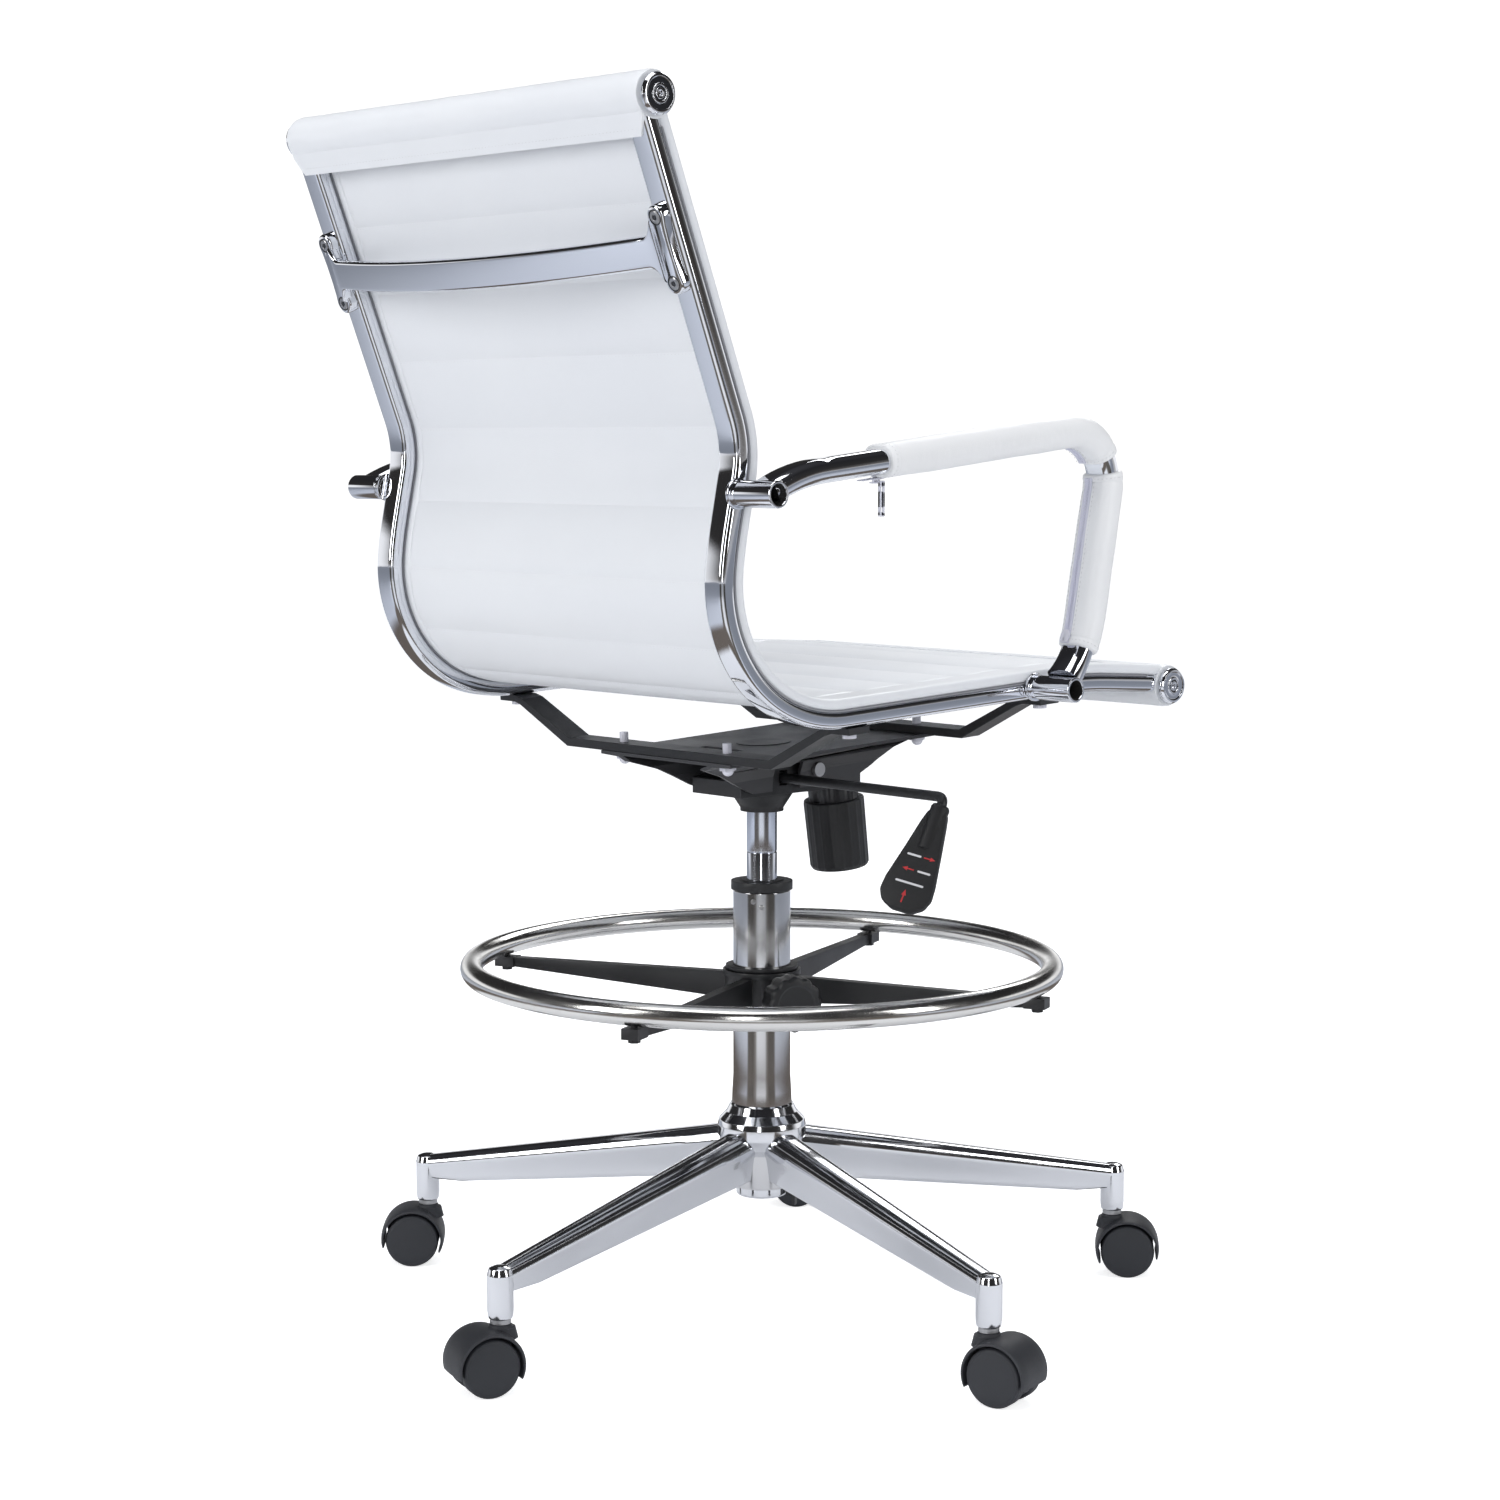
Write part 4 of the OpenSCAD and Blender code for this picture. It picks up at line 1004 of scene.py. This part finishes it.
def castor_hood():
    """A shell over both wheels, bulging a little across, with its web, stem socket and shoulder."""
    rings = []
    for i in range(HOOD_STEPS + 1):
        turn = math.radians(-12 + 215 * i / HOOD_STEPS)
        direction = Vector((math.cos(turn), 0, math.sin(turn)))
        thick = 3.0 - 1.1 * abs(2 * i / HOOD_STEPS - 1) ** 4
        outer = [(21.6, 0.2), (22.2, 0.9), (21.8, thick - 0.6), (20.2, thick), (12, thick + 0.55)]
        section = [(-y, r) for y, r in outer] + [(0, thick + 0.75)] + outer[::-1] + [(18, 0), (0, 0), (-18, 0)]
        rings.append([WHEEL_AXLE + direction * (HOOD_IN + r) + Vector((0, y, 0)) for y, r in section])
    web = filleted([(-8, 24), (-9, 44), (-2, 50), (14, 53.5), (30, 50), (40, 38), (36, 12), (20, 6), (4, 8)], 4, 3, True)
    neck = filleted([(4.1, 34), (10.0, 34), (10.5, 36), (10.5, 55.6), (9.9, 57.4), (9.0, 58.5), (4.6, 58.5),
                     (4.1, 57.5)], 0.7, 3)
    shoulder = []
    for t in (j / 6 for j in range(7)):
        wide, deep = 10.8 * (1 + 0.22 * (1 - t)), 10.6 * (1 + 0.18 * (1 - t) ** 2)
        shoulder.append([Vector((-2 + wide * math.cos(a), deep * math.sin(a), 46 + 9.5 * t)) for a in turns(32)])
    return joined(skinned(rings), moved(prism(web, 9.4, -4.7), rot(90, "X")), lathe(neck, 48), skinned(shoulder))


def castors():
    """Five twin-wheel castors, each trailing its own way."""
    hood = castor_hood()
    rim = filleted([(3.1, 0), (21.6, 0), (24.4, 1.0), (25.5, 4.0), (25.5, 12.6), (24.6, 15.0), (23.4, 15.9),
                    (22.6, 15.7), (22.1, 16.1), (12, 17.0), (0, 17.3)], 0.7, 3)
    for k, (leg, trail) in enumerate(zip(LEG_A, TRAIL), 1):
        place = MM @ rot(leg, "Z") @ move(LEG_R, 0, 0) @ rot(trail - leg, "Z")
        piece(f"castor_cover_{k}", hood, CASTOR_PLASTIC, f"castor_{k}", [f"castor_hood_{k}"],
              place=place, crisp=40)
        dress([f"castor_axle_{k}"], STEEL)
        for side, flip in (("a", 1), ("b", -1)):
            wheel = moved(lathe(rim, 80), move(*WHEEL_AXLE) @ rot(90 * flip, "X") @ move(0, 0, 5.3))
            piece(f"castor_roller_{k}{side}", wheel, CASTOR_PLASTIC, f"wheel_{k}{side}", [f"castor_wheel_{k}{side}"],
                  place=place, crisp=32)


# ---------------------------------------------------------------- foot ring
RING_R, RING_Z, RING_TUBE, KNOB_A = 267.8, 318.0, 10.3, 158.5


def rippled(shape, swell):
    """The shape with swell(distance from the axis, height, angle) added to each point's distance from Z."""
    out = []
    for p in shape[0]:
        x, y, z = p
        r = math.hypot(x, y)
        grow = 1 + swell(r, z, math.atan2(y, x)) / r if r > 0 else 1
        out.append(Vector((x * grow, y * grow, z)))
    return out, shape[1]


def foot_ring():
    """The bright ring on its black spider, and the fluted clamp knob."""
    rings = []
    for a in turns(160):
        reaches = [(RING_R + RING_TUBE * math.cos(q), RING_Z + RING_TUBE * math.sin(q)) for q in turns(28)]
        rings.append([Vector((r * math.cos(a), r * math.sin(a), z)) for r, z in reaches])
    piece("foot_ring_tube", skinned(rings, looped=True), RING_CHROME, "ring", ["foot_ring"], place=MM)
    dress(["ring_spider", "ring_bolts"], BLACK_PAINT, 0.6)
    dress(["ring_bush"], BLACK_PLASTIC, 0.4)
    dress(["ring_shoe"], STEEL)
    grip = lathe(filleted([
        (0, 53), (9, 53), (9, 62), (22.4, 62), (23.6, 63.2), (24.6, 70), (24.2, 83), (22.4, 86.3), (18.5, 87),
        (16.5, 85.8), (0, 85.2)], 1.2, 3), 144)

    def flutes(r, z, angle):
        return 1.9 * (0.5 + 0.5 * math.cos(12 * angle)) ** 0.7 - 0.4 if r > 22.0 and 62.5 < z < 86.5 else 0

    stem = lathe([(0, 40), (5, 40), (5, 66), (0, 66)], 32)
    out_there = rot(KNOB_A, "Z") @ move(0, 0, 294) @ rot(90, "Y")
    piece("clamp_knob", moved(joined(rippled(grip, flutes), stem), out_there), BLACK_PLASTIC, "ring_clamp",
          ["ring_knob"], place=MM, crisp=38)


# ---------------------------------------------------------------- mechanism
PADDLE_X = 236.0


def mechanism():
    """The black tilt housing and seat plate, the tension knob, and the lever with its paddle."""
    dress(["tilt_housing", "seat_plate"], BLACK_PAINT, 0.6)
    dress(["rear_crossbar", "front_crossbar"], BLACK_PAINT, 0.8)
    # a shallow dish that closes the plate's hole over the gas lift
    dish = lathe(filleted([(0, -44.6), (23.8, -44.6), (25.5, -42.4), (25.5, -41.7), (20, -42.2), (0, -42.6)], 0.5, 2), 64)
    piece("plate_dish", moved(dish, move(0, 0, 566.3) @ rot(2.7, "X")), BLACK_PAINT, "seat", crisp=40)
    dress(["tilt_axle", "tension_spring"], STEEL)
    dress(["bar_bolts"], ZINC)
    dress(["lever_bush"], BLACK_PLASTIC)
    grip = lathe(filleted([
        (0, 12.4), (17, 12.4), (17, 7.6), (5, 7.6), (5, 4), (24.2, 4), (28.2, 3.8), (28.6, 2), (27.8, -58),
        (26.2, -61.4), (22, -62), (20.6, -60.6), (0, -60.2)], 0.8, 3), 180)

    def ribs(r, z, angle):
        return 0.6 * max(0.0, math.cos(20 * angle)) ** 1.5 - 0.3 if r > 26.8 and -60.5 < z < 3 else 0

    screw = lathe([(0, 10), (5, 10), (5, 24), (0, 24)], 24)
    knob = move(0, 92.5, 461) @ rot(7.68, "X")
    piece("tension_grip", moved(joined(rippled(grip, ribs), screw), knob), BLACK_PLASTIC, "tension",
          ["tension_knob"], crisp=42)
    lever()


def arrow(x, z, way, size=1.0):
    """A plain arrow on the paddle's face that looks back."""
    half = [(-5.5, 0.55), (0.5, 0.55), (0.5, 1.9)]
    shape = [(a * size, -b * size) for a, b in half] + [(5.2 * size, 0)] + [(a * size, b * size) for a, b in half[::-1]]
    return moved(prism(shape, 0.25), move(x, -4.45, z) @ rot(90, "X") @ rot(way, "Z"))


def dash(x, z, long):
    bar = filleted([(-long / 2, -0.9), (long / 2, -0.9), (long / 2, 0.9), (-long / 2, 0.9)], 0.8, 3, True)
    return moved(prism(bar, 0.25), move(x, -4.45, z) @ rot(90, "X"))


def lever():
    """A bent rod and a flat paddle with plain marks."""
    down, bend = rot(-30, "X") @ Vector((0, 0, -1)), 9
    elbow = Vector((PADDLE_X, -4, 494))
    path = [(x, -4, 494) for x in (-12, 20, 60, 100, 140, 180, 210, PADDLE_X - bend)]
    a, b = elbow - Vector((bend, 0, 0)), elbow + down * bend
    for t in (k / 8 for k in range(1, 9)):
        path.append(a.lerp(elbow, t).lerp(elbow.lerp(b, t), t))
    path += [elbow + down * d for d in (14, 22, 42)]
    piece("lever_bent_rod", tube(path, 4.5, 24), BLACK_PAINT, "lever", ["lever_rod"], crisp=50)
    hang = move(*elbow) @ rot(-30, "X") @ rot(25, "Z")
    outline = filleted([
        (-7.5, -12), (-11.5, -26), (-16.5, -50), (-23.5, -82), (-24.2, -94), (-19.5, -103), (-9, -108), (9, -108),
        (19, -101.5), (22.6, -92), (21.6, -80), (16, -50), (11.2, -26), (8, -12)], 9, 6, True)
    centre = Vector((sum(p[0] for p in outline) / len(outline), -62))
    rings = []
    rim = ((2.6, -4.5), (0.9, -4.1), (0.15, -3.0), (0, -1.6))
    for inset, y in rim + tuple((inset, -y) for inset, y in rim[::-1]):
        ring = []
        for x, z in outline:
            away = Vector((x, z)) - centre
            shrink = 1 - inset / max(away.length, 6)
            ring.append(Vector((centre.x + away.x * shrink, y, centre.y + away.y * shrink)))
        rings.append(ring)
    neck = lathe(filleted([(0, -50), (6.8, -50), (8.4, -11), (7.2, -8.6), (4.6, -8)], 1.2, 3), 32)
    piece("lever_paddle_grip", moved(joined(skinned(rings), neck), hang), PADDLE_BLACK, "lever", ["lever_paddle"],
          crisp=44)
    arrows = joined(arrow(9.5, -58, 0), arrow(-6, -71, 180), arrow(-1, -95, 90, 1.1))
    dashes = joined(dash(-5, -58, 13), dash(9, -71, 12), dash(0, -83, 26))
    piece("paddle_arrows", moved(arrows, hang), PRINT_RED, "lever", crisp=20)
    piece("paddle_dashes", moved(dashes, hang), PRINT_WHITE, "lever", crisp=20)


star_base()
column()
castors()
foot_ring()
mechanism()
